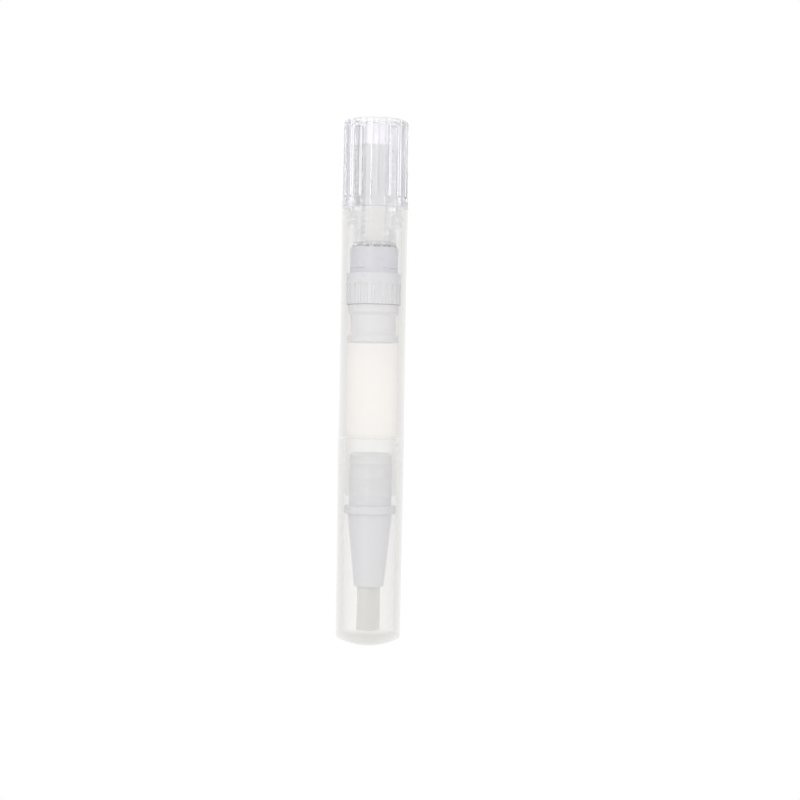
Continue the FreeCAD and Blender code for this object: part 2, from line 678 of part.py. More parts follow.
def make_feed_tube(doc, s, r, z):
    """Thin tube that carries oil from the plug's hollow into the bristles."""
    body = new_body(doc, z, "feed_tube")
    bore = r.tube - s.tube_wall
    turned(body, "TubeTurned", [
        (bore, z.tube_front),
        (r.tube, z.tube_front),
        (r.tube, z.tube_rear),
        (bore, z.tube_rear),
    ])
    return body


def make_brush_root(doc, s, r, z):
    """Fused foot of the bristles, seated on the socket's ledge round the feed tube."""
    body = new_body(doc, z, "brush_root")
    outside = r.socket - s.root_gap
    turned(body, "RootTurned", [
        (r.tube_hole, z.root_front),
        (outside, z.root_front),
        (outside, z.ledge),
        (r.tube_hole, z.ledge),
    ])
    return body


def make_brush_tuft(doc, s, r, z):
    """Tuft of bristles as one solid: straight in the socket, then spreading to a flat-cut end."""
    body = new_body(doc, z, "brush_tuft")
    outside = r.socket - s.tuft_gap
    turned(body, "TuftTurned", [
        (AXIS, z.tuft_tip),
        (outside + s.tuft_spread, z.tuft_tip),
        (outside, z.nozzle_tip),
        (outside, z.root_front),
        (r.tube_hole, z.root_front),
        (r.tube_hole, z.tube_front - s.tube_gap),
        (AXIS, z.tube_front - s.tube_gap),
    ])
    return body


MAKERS = (
    make_cap, make_barrel, make_knob, make_click_ring, make_drive_nut, make_screw_rod, make_piston,
    make_nozzle, make_feed_tube, make_brush_root, make_brush_tuft,
)


def check(doc, bodies):
    """Stop before anything is written if a feature failed or a piece isn't one sound solid."""
    for item in doc.Objects:
        if "Invalid" in item.State or "Error" in item.State:
            raise RuntimeError("%s failed: %s" % (item.Name, item.State))
    for body in bodies:
        shape = body.Shape
        if shape.isNull() or not shape.isValid() or len(shape.Solids) != 1:
            raise RuntimeError("%s is not one sound solid" % body.Label)


def main():
    doc = FreeCAD.newDocument("NailOilPen")
    sizes = Sizes(doc)
    radii, heights = Radii(sizes), Heights(sizes)
    bodies = [maker(doc, sizes, radii, heights) for maker in MAKERS]
    doc.recompute()
    check(doc, bodies)
    os.makedirs("parts", exist_ok=True)
    for body in bodies:
        body.Shape.exportStep("parts/%s.step" % body.Label)
        print("%-12s %9.3f mm3" % (body.Label, body.Shape.Volume))


main()
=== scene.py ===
"""Twist-up nail oil pen in clear and frosted plastic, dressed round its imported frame.

Sizes in the functions are millimetres, measured along the pen's axis and out from it.
"""

import functools
import itertools
import math

import bmesh
import bpy
from bpy.props import FloatProperty, FloatVectorProperty, IntProperty, PointerProperty
from mathutils import Euler, Matrix, Vector


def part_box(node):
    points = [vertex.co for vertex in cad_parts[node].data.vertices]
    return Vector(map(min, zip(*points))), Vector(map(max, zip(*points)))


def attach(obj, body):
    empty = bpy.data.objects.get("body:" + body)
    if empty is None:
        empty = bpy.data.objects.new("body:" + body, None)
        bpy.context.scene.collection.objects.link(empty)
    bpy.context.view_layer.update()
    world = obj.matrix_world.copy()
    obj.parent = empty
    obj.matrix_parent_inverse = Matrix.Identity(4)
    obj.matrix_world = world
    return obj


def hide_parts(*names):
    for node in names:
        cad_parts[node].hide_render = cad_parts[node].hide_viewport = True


bl_info = {
    "name": "Nail Oil Pen",
    "version": (1, 0, 0),
    "blender": (4, 5, 0),
    "location": "3D View > Sidebar > Nail Oil Pen",
    "description": "Builds a twist-up nail oil pen in clear and frosted plastic",
    "category": "Add Mesh",
}

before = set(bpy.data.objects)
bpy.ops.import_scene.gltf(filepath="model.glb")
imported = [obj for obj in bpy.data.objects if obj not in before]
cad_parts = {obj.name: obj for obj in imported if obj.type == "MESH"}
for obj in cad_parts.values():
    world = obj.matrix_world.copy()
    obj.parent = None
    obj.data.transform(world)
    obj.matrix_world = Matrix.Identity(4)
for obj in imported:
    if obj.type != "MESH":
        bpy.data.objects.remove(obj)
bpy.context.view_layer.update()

MM = 0.001
TINY = 1e-6
COLUMNS = 144
ROUND_STEPS = 5
SHARP_ANGLE = math.radians(34)

# Radii that the pieces share, in millimetres
RESERVOIR = 4.65
REAR_BORE = 4.95
NECK_BORE = 4.03
NECK = 4.75
CAP_BORE_MOUTH = 5.05
CAP_BORE_FLOOR = 4.6
CROWN = 4.0
ROD_PASSAGE = 2.95
NOSE_HEAD = 1.8
NOSE_NECK = 1.4
TUBE_HOLE = 0.72
SOCKET = 2.1

# Lengths, insets and gaps that the pieces share, in millimetres
CAP_FLOOR_RISE = 2.45
GRIP_INSET = 0.1
END_INSET = 0.175
ROD_FLAT_DEPTH = 0.65
NOSE_LENGTH = 1.7
SNAP_DEPTH = 1.9
TOOTH_HEIGHT = 0.45
RIB_LENGTH = 3.7
CAP_GAP = 0.2
FLANGE_GAP = 0.1
NOSE_GAP = 0.1
BEAD_GAP = 0.03

LengthProperty = functools.partial(FloatProperty, unit="LENGTH")
PowerProperty = functools.partial(FloatProperty, subtype="POWER", unit="POWER")
ColourProperty = functools.partial(FloatVectorProperty, subtype="COLOR", size=3)


def linear(hex_colour):
    """An sRGB hex colour as linear red, green and blue."""
    parts = [int(hex_colour[place:place + 2], 16) / 255 for place in (1, 3, 5)]
    return tuple(p / 12.92 if p <= 0.04045 else ((p + 0.055) / 1.055) ** 2.4 for p in parts)


class Span:
    """A node's reach along the pen and its widest radius, in millimetres."""

    def __init__(self, node):
        low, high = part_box(node)
        self.low, self.high = low.z / MM, high.z / MM
        self.radius = max(high.x, high.y) / MM
        self.depth = high.y / MM


class PenSizes(bpy.types.PropertyGroup):
    """Sizes of the details that the frame leaves plain"""

    thread_lead: LengthProperty(
        name="Thread lead", description="Feed of the lead screw for one turn of the knob", default=2.0 * MM)
    thread_starts: IntProperty(
        name="Thread starts", description="Ridges that wind side by side up the lead screw", default=2,
        min=1)
    thread_depth: LengthProperty(
        name="Thread depth", description="Height of the lead screw's ridges", default=0.09 * MM)
    rib_count: IntProperty(
        name="Barrel ribs", description="Ribs in the barrel that hold the drive nut", default=24, min=3)
    flute_count: IntProperty(
        name="Knob flutes", description="Hollows round the knob's head", default=16, min=3)
    flute_radius: LengthProperty(
        name="Flute radius", description="Radius of a flute's hollow", default=0.85 * MM)
    flute_depth: LengthProperty(name="Flute depth", description="Depth of a flute", default=0.4 * MM)
    tooth_count: IntProperty(
        name="Crown teeth", description="Sawteeth round the click ring and the knob's stem", default=40,
        min=3)
    bristle_width: LengthProperty(
        name="Bristle width", description="Thickness of one bristle", default=0.15 * MM)
    bristle_spacing: LengthProperty(
        name="Bristle spacing", description="Least distance between two bristles", default=0.125 * MM)
    tuft_lean: LengthProperty(
        name="Tuft lean", description="How far the tuft's cut end leans to one side", default=0.12 * MM)
    tuft_seed: IntProperty(name="Tuft seed", description="Seed for the bristles' places", default=7, min=0)


class PenColours(bpy.types.PropertyGroup):
    """Colours of the pen's plastics"""

    frosted: ColourProperty(
        name="Frosted shell", description="Natural polypropylene of the cap and barrel",
        default=linear("#FEFDFC"))
    # Painted warm glow: faint amber painted on the barrel's bore faces, standing in for warm light through
    # the curved walls
    painted_glow: ColourProperty(
        name="Oil film", description="Trace of oil on the reservoir's bore", default=linear("#FCF1E6"))
    clear: ColourProperty(
        name="Clear knob", description="Clear styrene plastic of the knob", default=linear("#FCFBFE"))
    nut: ColourProperty(
        name="Drive nut", description="Natural acetal of the drive nut", default=linear("#D5D5DB"))
    ring: ColourProperty(
        name="Click ring", description="Cooler acetal of the click ring", default=linear("#C9C9D2"))
    # Dark grey of the blobs mixed over the click ring's teeth
    tooth_blotch: ColourProperty(
        name="Greased teeth", description="Film of damping grease on the click ring's teeth",
        default=linear("#4A4A50"))
    milky: ColourProperty(
        name="Milky parts", description="Milky polypropylene of the nozzle and feed tube",
        default=linear("#D3D4D8"))
    piston: ColourProperty(
        name="Piston", description="Softer polypropylene of the piston", default=linear("#DEE0E5"))
    rod: ColourProperty(
        name="Screw rod", description="Whiter polypropylene of the screw rod", default=linear("#F1F1EF"))
    bristle: ColourProperty(
        name="Bristles", description="Nylon of the brush", default=linear("#D8D7D4"))


class PenStage(bpy.types.PropertyGroup):
    """Camera, lamps and floor"""

    distance: LengthProperty(
        name="Camera distance", description="From the camera to the pen's axis", default=300 * MM)
    aside: LengthProperty(
        name="Camera aside", description="How far right of the axis the camera stands", default=5.1 * MM)
    level: LengthProperty(
        name="Camera level", description="Height of the camera in the frame", default=-13.6 * MM)
    roll: FloatProperty(
        name="Camera roll", description="Turn of the picture about its middle",
        default=math.radians(-0.974), subtype="ANGLE")
    lens: FloatProperty(name="Lens", description="Focal length on a 36 mm sensor, in mm", default=74.6)
    room_light: FloatProperty(
        name="Room light", description="Strength of the light from all round", default=0.85)
    key_power: PowerProperty(name="Key lamp", description="Power of the large soft lamp", default=0.8)
    fill_power: PowerProperty(name="Fill lamp", description="Power of the fill lamp", default=0.52)
    strip_power: PowerProperty(
        name="Strip lamp", description="Power of the narrow upright lamp", default=0.3)
    floor_drop: LengthProperty(
        name="Floor drop", description="From the cap's tip down to the floor", default=200 * MM)


# Mesh helpers

def dome(radius, foot, apex, steps):
    """Points of a shallow dome from its apex on the axis out to, but not including, its foot."""
    reach, rise = 0.9 * radius, foot - apex
    ball = (radius ** 2 + rise ** 2) / (2 * rise)
    outs = [reach * step / (steps - 1) for step in range(steps)]
    return [(out, apex + ball - math.copysign(math.sqrt(ball ** 2 - out ** 2), ball)) for out in outs]


def bead(base, crest, middle, width, steps=8):
    """Points of a round bead, in rising order, on a wall of the base radius."""
    half, height = width / 2, crest - base
    ball = (half ** 2 + height ** 2) / (2 * height)
    levels = [middle + half * (2 * step / steps - 1) for step in range(steps + 1)]
    return [(crest - ball + math.sqrt(ball ** 2 - (level - middle) ** 2), level) for level in levels]


def eased(points):
    """Fine profile through (radius, level) points; a third number rounds a corner by that radius."""
    fine = []
    for index, point in enumerate(points):
        here = Vector(point[:2])
        if len(point) < 3:
            fine.append(here)
            continue
        ease = point[2]
        back = (Vector(points[index - 1][:2]) - here).normalized()
        on = (Vector(points[(index + 1) % len(points)][:2]) - here).normalized()
        half = back.angle(on) / 2
        centre = here + (back + on).normalized() * ease / math.sin(half)
        start = here + back * ease / math.tan(half) - centre
        end = here + on * ease / math.tan(half) - centre
        for step in range(ROUND_STEPS + 1):
            share = step / ROUND_STEPS
            fine.append(centre + (start * (1 - share) + end * share).normalized() * ease)
    return fine


def ring_at(mesh, places):
    """Vertices at (radius, angle, level) places round the axis, or one where the radius is nothing."""
    if places[0][0] < TINY:
        return [mesh.verts.new((0, 0, places[0][2] * MM))]
    return [mesh.verts.new((radius * math.cos(angle) * MM, radius * math.sin(angle) * MM, level * MM))
            for radius, angle, level in places]


def skinned(rings, mesh, closed=False):
    """Faces between each ring of vertices and the next."""
    pairs = list(zip(rings, rings[1:]))
    if closed:
        pairs.append((rings[-1], rings[0]))
    for low, high in pairs:
        for index in range(max(len(low), len(high))):
            after = index + 1
            corners = dict.fromkeys((low[index % len(low)], low[after % len(low)],
                                     high[after % len(high)], high[index % len(high)]))
            if len(corners) > 2:
                mesh.faces.new(corners)


def turned(points, columns=COLUMNS):
    """A profile turned about the pen's axis; it closes on itself unless it starts on the axis."""
    mesh = bmesh.new()
    angles = [math.tau * column / columns for column in range(columns)]
    rings = [ring_at(mesh, [(radius, angle, level) for angle in angles]) for radius, level in eased(points)]
    skinned(rings, mesh, len(rings[0]) > 1)
    return mesh


def of_cells(radii, angles, levels, filled):
    """A solid of polar cells: the cells whose middles are filled, with faces only where they end."""
    mesh = bmesh.new()
    count = len(angles)
    square = ((0, 0), (0, 1), (1, 1), (1, 0))
    made = {}

    def corner(ring, spoke, floor):
        key = (ring, spoke % count, floor)
        if key not in made:
            made[key] = ring_at(mesh, [(radii[ring], angles[spoke % count], levels[floor])])[0]
        return made[key]

    def inside(ring, spoke, floor):
        if not (0 <= ring < len(radii) - 1 and 0 <= floor < len(levels) - 1):
            return False
        spoke %= count
        ahead = angles[spoke + 1] if spoke + 1 < count else angles[0] + math.tau
        return filled((radii[ring] + radii[ring + 1]) / 2, (angles[spoke] + ahead) / 2,
                      (levels[floor] + levels[floor + 1]) / 2)

    for cell in itertools.product(range(len(radii) - 1), range(count), range(len(levels) - 1)):
        if not inside(*cell):
            continue
        for axis, far in itertools.product(range(3), (0, 1)):
            beyond = list(cell)
            beyond[axis] += 1 if far else -1
            if inside(*beyond):
                continue
            wall = []
            for one, two in square:
                place = list(cell)
                place[axis] += far
                place[(axis + 1) % 3] += two if far else one
                place[(axis + 2) % 3] += one if far else two
                wall.append(corner(*place))
            mesh.faces.new(wall)
    return mesh


def off_axis(angle, middle):
    """Degrees between an angle in radians and a direction in degrees."""
    return abs((math.degrees(angle) - middle + 180) % 360 - 180)


def half_angle(half_width, radius):
    """Half of the angle, in degrees, that a width takes at a radius."""
    return math.degrees(math.asin(half_width / radius))


def spokes(edges, step=2.5):
    """Angles in degrees, every step round the axis and at each named edge, as sorted radians."""
    every = {round(step * number, 4) for number in range(round(360 / step))}
    clear = {angle for angle in every
             if all(abs((angle - edge + 180) % 360 - 180) > step / 4 for edge in edges)}
    return sorted(math.radians(angle) for angle in clear | {edge % 360 for edge in edges})


def flat_reach(flat, angle):
    """Distance from the axis, at this angle, to a flat that faces across the pen."""
    return flat / max(abs(math.sin(angle)), TINY)


def crisp(data):
    """Mesh data shaded smooth, with crisp edges at its corners."""
    data.shade_smooth()
    data.set_sharp_from_angle(angle=SHARP_ANGLE)
    return data


def settled(mesh, name):
    """A bmesh as finished mesh data: doubles merged, faces outwards, smooth with crisp edges."""
    bmesh.ops.remove_doubles(mesh, verts=mesh.verts[:], dist=2e-7)
    bmesh.ops.dissolve_degenerate(mesh, edges=mesh.edges[:], dist=1e-7)
    bmesh.ops.recalc_face_normals(mesh, faces=mesh.faces[:])
    data = bpy.data.meshes.new(name)
    mesh.to_mesh(data)
    mesh.free()
    return crisp(data)


def placed(name, shape, material, body, slot, *nodes):
    """Show a bmesh or grown mesh data as a piece that rides on a body, in place of its nodes."""
    data = settled(shape, name) if isinstance(shape, bmesh.types.BMesh) else crisp(shape)
    if not data.materials:
        data.materials.append(material)
    piece = bpy.data.objects.new(name, data)
    bpy.context.collection.objects.link(piece)
    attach(piece, body)
    if nodes:
        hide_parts(*nodes)


# Node helpers

def add_node(tree, kind, sockets=None, **settings):
    """Add a node with its settings, and set its inputs or link them to a socket or a node's first output."""
    node = tree.nodes.new(kind)
    for name, value in settings.items():
        setattr(node, name, value)
    for key, value in (sockets or {}).items():
        if isinstance(value, bpy.types.Node):
            value = value.outputs[0]
        if isinstance(value, bpy.types.NodeSocket):
            tree.links.new(value, node.inputs[key])
        else:
            node.inputs[key].default_value = value
    return node


def new_tree(name, inputs):
    """A geometry tree with named inputs, and its group input's sockets."""
    tree = bpy.data.node_groups.new(name, "GeometryNodeTree")
    for label, kind in inputs:
        tree.interface.new_socket(name=label, in_out="INPUT", socket_type="NodeSocket" + kind)
    tree.interface.new_socket(name="Result", in_out="OUTPUT", socket_type="NodeSocketGeometry")
    return tree, add_node(tree, "NodeGroupInput").outputs


def end_tree(tree, instances, material):
    """Close a tree: real geometry with its material set."""
    real = add_node(tree, "GeometryNodeRealizeInstances", {"Geometry": instances})
    coated = add_node(tree, "GeometryNodeSetMaterial", {"Geometry": real, "Material": material})
    add_node(tree, "NodeGroupOutput", {"Result": coated})
    return tree


def grown(name, base, tree, values):
    """Run a geometry tree on base mesh data and give what it makes as plain mesh data."""
    holder = bpy.data.objects.new(name + "_grower", base)
    bpy.context.collection.objects.link(holder)
    modifier = holder.modifiers.new("Grow", "NODES")
    modifier.node_group = tree
    places = {item.name: item.identifier for item in tree.interface.items_tree
              if item.item_type == "SOCKET" and item.in_out == "INPUT"}
    for label, value in values.items():
        modifier[places[label]] = value
    graph = bpy.context.evaluated_depsgraph_get()
    data = bpy.data.meshes.new_from_object(holder.evaluated_get(graph))
    holder.modifiers.remove(modifier)
    bpy.data.objects.remove(holder)
    data.name = name
    return data


def copies_tree():
    """Tree that sets copies of one small shape evenly round the pen's axis."""
    known = bpy.data.node_groups.get("copies_round_axis")
    if known:
        return known
    tree, given = new_tree("copies_round_axis", (
        ("One copy", "Geometry"), ("Count", "Int"), ("Material", "Material")))
    points = add_node(tree, "GeometryNodePoints", {"Count": given["Count"]})
    index = add_node(tree, "GeometryNodeInputIndex")
    pitch = add_node(tree, "ShaderNodeMath", {0: math.tau, 1: given["Count"]}, operation="DIVIDE")
    turn = add_node(tree, "ShaderNodeMath", {0: index, 1: pitch}, operation="MULTIPLY")
    spin = add_node(tree, "ShaderNodeCombineXYZ", {"Z": turn})
    copies = add_node(tree, "GeometryNodeInstanceOnPoints", {
        "Points": points, "Instance": given["One copy"], "Rotation": spin})
    return end_tree(tree, copies, given["Material"])


def bristle_tree():
    """Tree that plants bristles on a disc, hanging down and spreading to their cut ends."""
    known = bpy.data.node_groups.get("bristle_tuft")
    if known:
        return known
    tree, given = new_tree("bristle_tuft", (
        ("Base", "Geometry"), ("Radius", "Float"), ("Hole", "Float"), ("Length", "Float"),
        ("Width", "Float"), ("Spacing", "Float"), ("Spread", "Float"), ("Lean", "Float"),
        ("Level", "Float"), ("Rim", "Int"), ("Seed", "Int"), ("Material", "Material")))
    node = functools.partial(add_node, tree)
    rim_share, stray_angle, spin, shortest, longest = 0.8, 0.008, 6.283, 0.985, 0.999

    # Places: strewn over the disc but for its hole, and one row round the rim
    inset = node("ShaderNodeMath", {0: given["Width"], 1: rim_share}, operation="MULTIPLY")
    inside = node("ShaderNodeMath", {0: given["Radius"], 1: inset}, operation="SUBTRACT")
    disc = node("GeometryNodeMeshCircle", {"Vertices": 48, "Radius": inside}, fill_type="NGON")
    strewn = node("GeometryNodeDistributePointsOnFaces", {
        "Mesh": disc, "Distance Min": given["Spacing"], "Density Max": 9e8, "Seed": given["Seed"]},
        distribute_method="POISSON")
    where = node("GeometryNodeInputPosition")
    across = node("ShaderNodeVectorMath", {0: where}, operation="LENGTH").outputs["Value"]
    in_hole = node("ShaderNodeMath", {0: across, 1: given["Hole"]}, operation="LESS_THAN")
    kept = node("GeometryNodeDeleteGeometry", {"Geometry": strewn, "Selection": in_hole}, domain="POINT")
    rim = node("GeometryNodeMeshCircle", {"Vertices": given["Rim"], "Radius": given["Radius"]})
    row = node("GeometryNodeMeshToPoints", {"Mesh": rim})
    planted = node("GeometryNodeJoinGeometry")
    for points in (kept, row):
        tree.links.new(points.outputs[0], planted.inputs[0])

    # One strand, hung from its root
    half_width = node("ShaderNodeMath", {0: given["Width"], 1: 0.5}, operation="MULTIPLY")
    strand = node("GeometryNodeMeshCylinder", {
        "Vertices": 6, "Side Segments": 3, "Radius": half_width, "Depth": given["Length"]})
    half_drop = node("ShaderNodeMath", {0: given["Length"], 1: -0.5}, operation="MULTIPLY")
    down = node("ShaderNodeCombineXYZ", {"Z": half_drop})
    hung = node("GeometryNodeTransform", {"Geometry": strand, "Translation": down})

    # Each strand leans out with the spread and to one side, strays a little and is cut nearly level
    place = node("ShaderNodeSeparateXYZ", {0: where}).outputs
    run = node("ShaderNodeMath", {0: given["Radius"], 1: given["Length"]}, operation="MULTIPLY")
    share = node("ShaderNodeMath", {0: given["Spread"], 1: run}, operation="DIVIDE")
    forth = node("ShaderNodeMath", {0: place["Y"], 1: share}, operation="MULTIPLY")
    aside = node("ShaderNodeMath", {0: place["X"], 1: share}, operation="MULTIPLY")
    lean = node("ShaderNodeMath", {0: given["Lean"], 1: given["Length"]}, operation="DIVIDE")
    sideways = node("ShaderNodeMath", {0: lean, 1: aside}, operation="SUBTRACT")
    tilt = node("ShaderNodeCombineXYZ", {"X": forth, "Y": sideways})
    stray = node("FunctionNodeRandomValue", {
        0: (-stray_angle, -stray_angle, 0.0), 1: (stray_angle, stray_angle, spin), "Seed": given["Seed"]},
        data_type="FLOAT_VECTOR")
    turn = node("ShaderNodeVectorMath", {0: tilt, 1: stray}, operation="ADD")
    cut = node("FunctionNodeRandomValue", {
        0: (1.0, 1.0, shortest), 1: (1.0, 1.0, longest), "Seed": given["Seed"]}, data_type="FLOAT_VECTOR")
    tuft = node("GeometryNodeInstanceOnPoints", {
        "Points": planted, "Instance": hung, "Rotation": turn, "Scale": cut})
    seat = node("ShaderNodeCombineXYZ", {"Z": given["Level"]})
    seated = node("GeometryNodeTransform", {"Geometry": tuft, "Translation": seat})
    return end_tree(tree, seated, given["Material"])


# Materials

def moulded(name, colour, rough, ior, grain, relief, drift, clear=0.0, alpha=1.0, dim=None):
    """A moulded plastic: grain is the tool's fine texture, drift the slow change of gloss over the piece.

    grain and drift are (size in millimetres, amount); relief is the depth of the grain in millimetres.
    dim is the hex colour that the plastic tends to in its depth and the share of light lost in a millimetre.
    """
    material = bpy.data.materials.get(name)
    if material:
        return material
    material = bpy.data.materials.new(name)
    material.use_nodes = True
    tree = material.node_tree
    tree.nodes.clear()
    place = add_node(tree, "ShaderNodeTexCoord").outputs["Object"]
    fine = add_node(tree, "ShaderNodeTexNoise", {
        "Vector": place, "Scale": 1 / (grain[0] * MM), "Detail": 3.0, "Roughness": 0.6})
    slow = add_node(tree, "ShaderNodeTexNoise", {
        "Vector": place, "Scale": 1 / (drift[0] * MM), "Detail": 2.0, "Roughness": 0.5})
    gloss = add_node(tree, "ShaderNodeMapRange", {
        "Value": slow, "From Min": 0.3, "From Max": 0.7,
        "To Min": max(rough - drift[1], 0.0), "To Max": rough + drift[1]})
    bump = add_node(tree, "ShaderNodeBump", {"Strength": grain[1], "Distance": relief * MM, "Height": fine})
    surface = add_node(tree, "ShaderNodeBsdfPrincipled", {
        "Base Color": (*colour, 1.0), "Roughness": gloss, "IOR": ior,
        "Transmission Weight": clear, "Alpha": alpha, "Normal": bump})
    output = add_node(tree, "ShaderNodeOutputMaterial", {"Surface": surface})
    if dim:
        depth = add_node(tree, "ShaderNodeVolumeAbsorption", {
            "Color": (*linear(dim[0]), 1.0), "Density": dim[1] / MM})
        tree.links.new(depth.outputs[0], output.inputs["Volume"])
    return material


def tinted(material, share, base, other):
    """Mix two colours over a material by a share that varies over the piece."""
    tree = material.node_tree
    mixed = add_node(tree, "ShaderNodeMix", {
        "Factor": share, "A": (*base, 1.0), "B": (*other, 1.0)}, data_type="RGBA")
    tree.links.new(mixed.outputs["Result"], tree.nodes["Principled BSDF"].inputs["Base Color"])
    return material


def frosted_polypropylene(colours):
    # Natural polypropylene moulded in a fine matt tool: each face scatters a little light as a thin milky
    # veil, the rest goes straight on through the thin wall, and the wall's depth dims and warms it where the
    # eye looks along it. The barrel's bore faces are painted faintly amber, a painted warm glow that stands
    # in for warm light through the curved walls. The tool's grain is about 0.03 mm and is drawn at 0.12 mm
    # so that it shows.
    material = moulded(
        "frosted_polypropylene", colours.frosted, rough=0.3, ior=1.49, grain=(0.12, 0.25), relief=0.006,
        drift=(6.0, 0.03), alpha=0.15, dim=("#6A6240", 0.043))
    # Where the painted warm glow goes: bore faces inside 4.8 mm, behind the cap's mouth
    glow_edge, front = (RESERVOIR + 0.15) * MM, Span("cap").high * MM
    tree = material.node_tree
    place = add_node(tree, "ShaderNodeTexCoord").outputs["Object"]
    flat = add_node(tree, "ShaderNodeVectorMath", {0: place, 1: (1.0, 1.0, 0.0)}, operation="MULTIPLY")
    out = add_node(tree, "ShaderNodeVectorMath", {0: flat}, operation="LENGTH").outputs["Value"]
    bore = add_node(tree, "ShaderNodeMath", {0: out, 1: glow_edge}, operation="LESS_THAN")
    level = add_node(tree, "ShaderNodeSeparateXYZ", {0: place}).outputs["Z"]
    behind = add_node(tree, "ShaderNodeMath", {0: level, 1: front}, operation="GREATER_THAN")
    glow_share = add_node(tree, "ShaderNodeMath", {0: bore, 1: behind}, operation="MULTIPLY")
    return tinted(material, glow_share, colours.frosted, colours.painted_glow)


def frosted_ribs(colours):
    # The same polypropylene in the ribs, where it is thicker and so hazier than in the plain wall.
    return moulded(
        "frosted_ribs", colours.frosted, rough=0.3, ior=1.49, grain=(0.12, 0.25), relief=0.006,
        drift=(6.0, 0.03), alpha=0.42)


def clear_styrene(colours):
    # Clear styrene plastic from a polished tool: sharp gloss, strong refraction at the flutes, a faint
    # violet cast, and slow flow marks from the gate. The stem runs in a film of grease that fills its narrow
    # gaps and is nearly as dense as the plastic, so it bends the light less than the dry head does.
    dry, greased, fade = 0.75, 0.4, 0.2 * MM
    material = moulded(
        "clear_styrene", colours.clear, rough=0.03, ior=1.57, grain=(2.2, 0.05), relief=0.02,
        drift=(5.0, 0.015), clear=1.0, alpha=dry, dim=("#3C0078", 0.004))
    tree = material.node_tree
    place = add_node(tree, "ShaderNodeTexCoord").outputs["Object"]
    level = add_node(tree, "ShaderNodeSeparateXYZ", {0: place}).outputs["Z"]
    flange = (Span("barrel").high + FLANGE_GAP) * MM
    bending = add_node(tree, "ShaderNodeMapRange", {
        "Value": level, "From Min": flange - fade, "From Max": flange, "To Min": greased, "To Max": dry})
    tree.links.new(bending.outputs[0], tree.nodes["Principled BSDF"].inputs["Alpha"])
    return material


def natural_acetal(colours):
    # Natural acetal: slippery, cloudy and cool white, hazier than the shell and lightly tooled. Its grain
    # of about 0.02 mm is drawn at 0.1 mm so that it shows.
    return moulded(
        "natural_acetal", colours.nut, rough=0.3, ior=1.48, grain=(0.1, 0.25), relief=0.006,
        drift=(3.0, 0.05))


def cool_acetal(colours):
    # The click ring's acetal: thinner and moulded with less white in it, so a shade cooler and greyer than
    # the nut. Its grain of about 0.02 mm is drawn at 0.1 mm so that it shows.
    return moulded(
        "cool_acetal", colours.ring, rough=0.28, ior=1.48, grain=(0.1, 0.25), relief=0.006,
        drift=(3.0, 0.05))


def blotched_acetal(colours):
    # The ring's teeth: cool acetal with dark grey blobs about a tooth wide mixed over it by a noise mask.
    # The surface's ripples of about 0.05 mm are drawn at 0.15 mm so that they show.
    material = moulded(
        "blotched_acetal", colours.tooth_blotch, rough=0.22, ior=1.48, grain=(0.15, 0.3), relief=0.01,
        drift=(1.0, 0.06))
    blob_size = 0.9
    tree = material.node_tree
    place = add_node(tree, "ShaderNodeTexCoord").outputs["Object"]
    blobs = add_node(tree, "ShaderNodeTexNoise", {
        "Vector": place, "W": 4.0, "Scale": 1 / (blob_size * MM), "Detail": 0.0}, noise_dimensions="4D")
    share = add_node(tree, "ShaderNodeMapRange", {"Value": blobs, "From Min": 0.46, "From Max": 0.54})
    return tinted(material, share, colours.ring, colours.tooth_blotch)


def milky_polypropylene(colours):
    # Thicker natural polypropylene: a milky body that hides what is behind it, with a smooth satin surface.
    # Its grain of about 0.03 mm is drawn at 0.1 mm so that it shows.
    return moulded(
        "milky_polypropylene", colours.milky, rough=0.15, ior=1.49, grain=(0.1, 0.06), relief=0.006,
        drift=(4.0, 0.03))


def soft_polypropylene(colours):
    # The piston's softer grade, paler than the nozzle and dull where its lips wipe the bore. Its grain of
    # about 0.03 mm is drawn at 0.1 mm so that it shows.
    return moulded(
        "soft_polypropylene", colours.piston, rough=0.34, ior=1.49, grain=(0.1, 0.3), relief=0.008,
        drift=(4.0, 0.05))


def white_polypropylene(colours):
    # The rod's polypropylene: whiter and softer than the nozzle's, with a dull satin surface. Its grain of
    # about 0.03 mm is drawn at 0.1 mm so that it shows.
    return moulded(
        "white_polypropylene", colours.rod, rough=0.36, ior=1.49, grain=(0.1, 0.3), relief=0.008,
        drift=(4.0, 0.05))


def nylon_bristle(colours):
    # Drawn nylon filament: smooth and slightly glassy along its length, off-white in the mass. Its
    # draw lines are about 0.01 mm apart and are drawn at 0.05 mm so that they show.
    return moulded(
        "nylon_bristle", colours.bristle, rough=0.38, ior=1.53, grain=(0.05, 0.2), relief=0.004,
        drift=(1.5, 0.06))


# Shapes of the pieces

def cap_narrowing(cap):
    """How much the radius of the cap's bore falls with each millimetre towards its floor."""
    return (CAP_BORE_MOUTH - CAP_BORE_FLOOR) / (cap.high - cap.low - CAP_FLOOR_RISE)


def cap_shape():
    """Cap with a domed tip; its mouth closes half of its gap, so that the seam shows as a fine line."""
    cap = Span("cap")
    floor, foot, tip = cap.low + CAP_FLOOR_RISE, cap.low + 1.5, cap.radius - END_INSET
    mouth, lead_in, edge = cap.high + CAP_GAP / 2, 0.25, 0.08
    return turned([
        *dome(tip, foot, cap.low, 9),
        (tip, foot, 0.4),
        (cap.radius, mouth, edge),
        (CAP_BORE_MOUTH + lead_in, mouth, edge),
        (CAP_BORE_MOUTH - cap_narrowing(cap) * lead_in, mouth - lead_in, edge),
        (CAP_BORE_FLOOR, floor, 0.25),
        (0, floor),
    ])


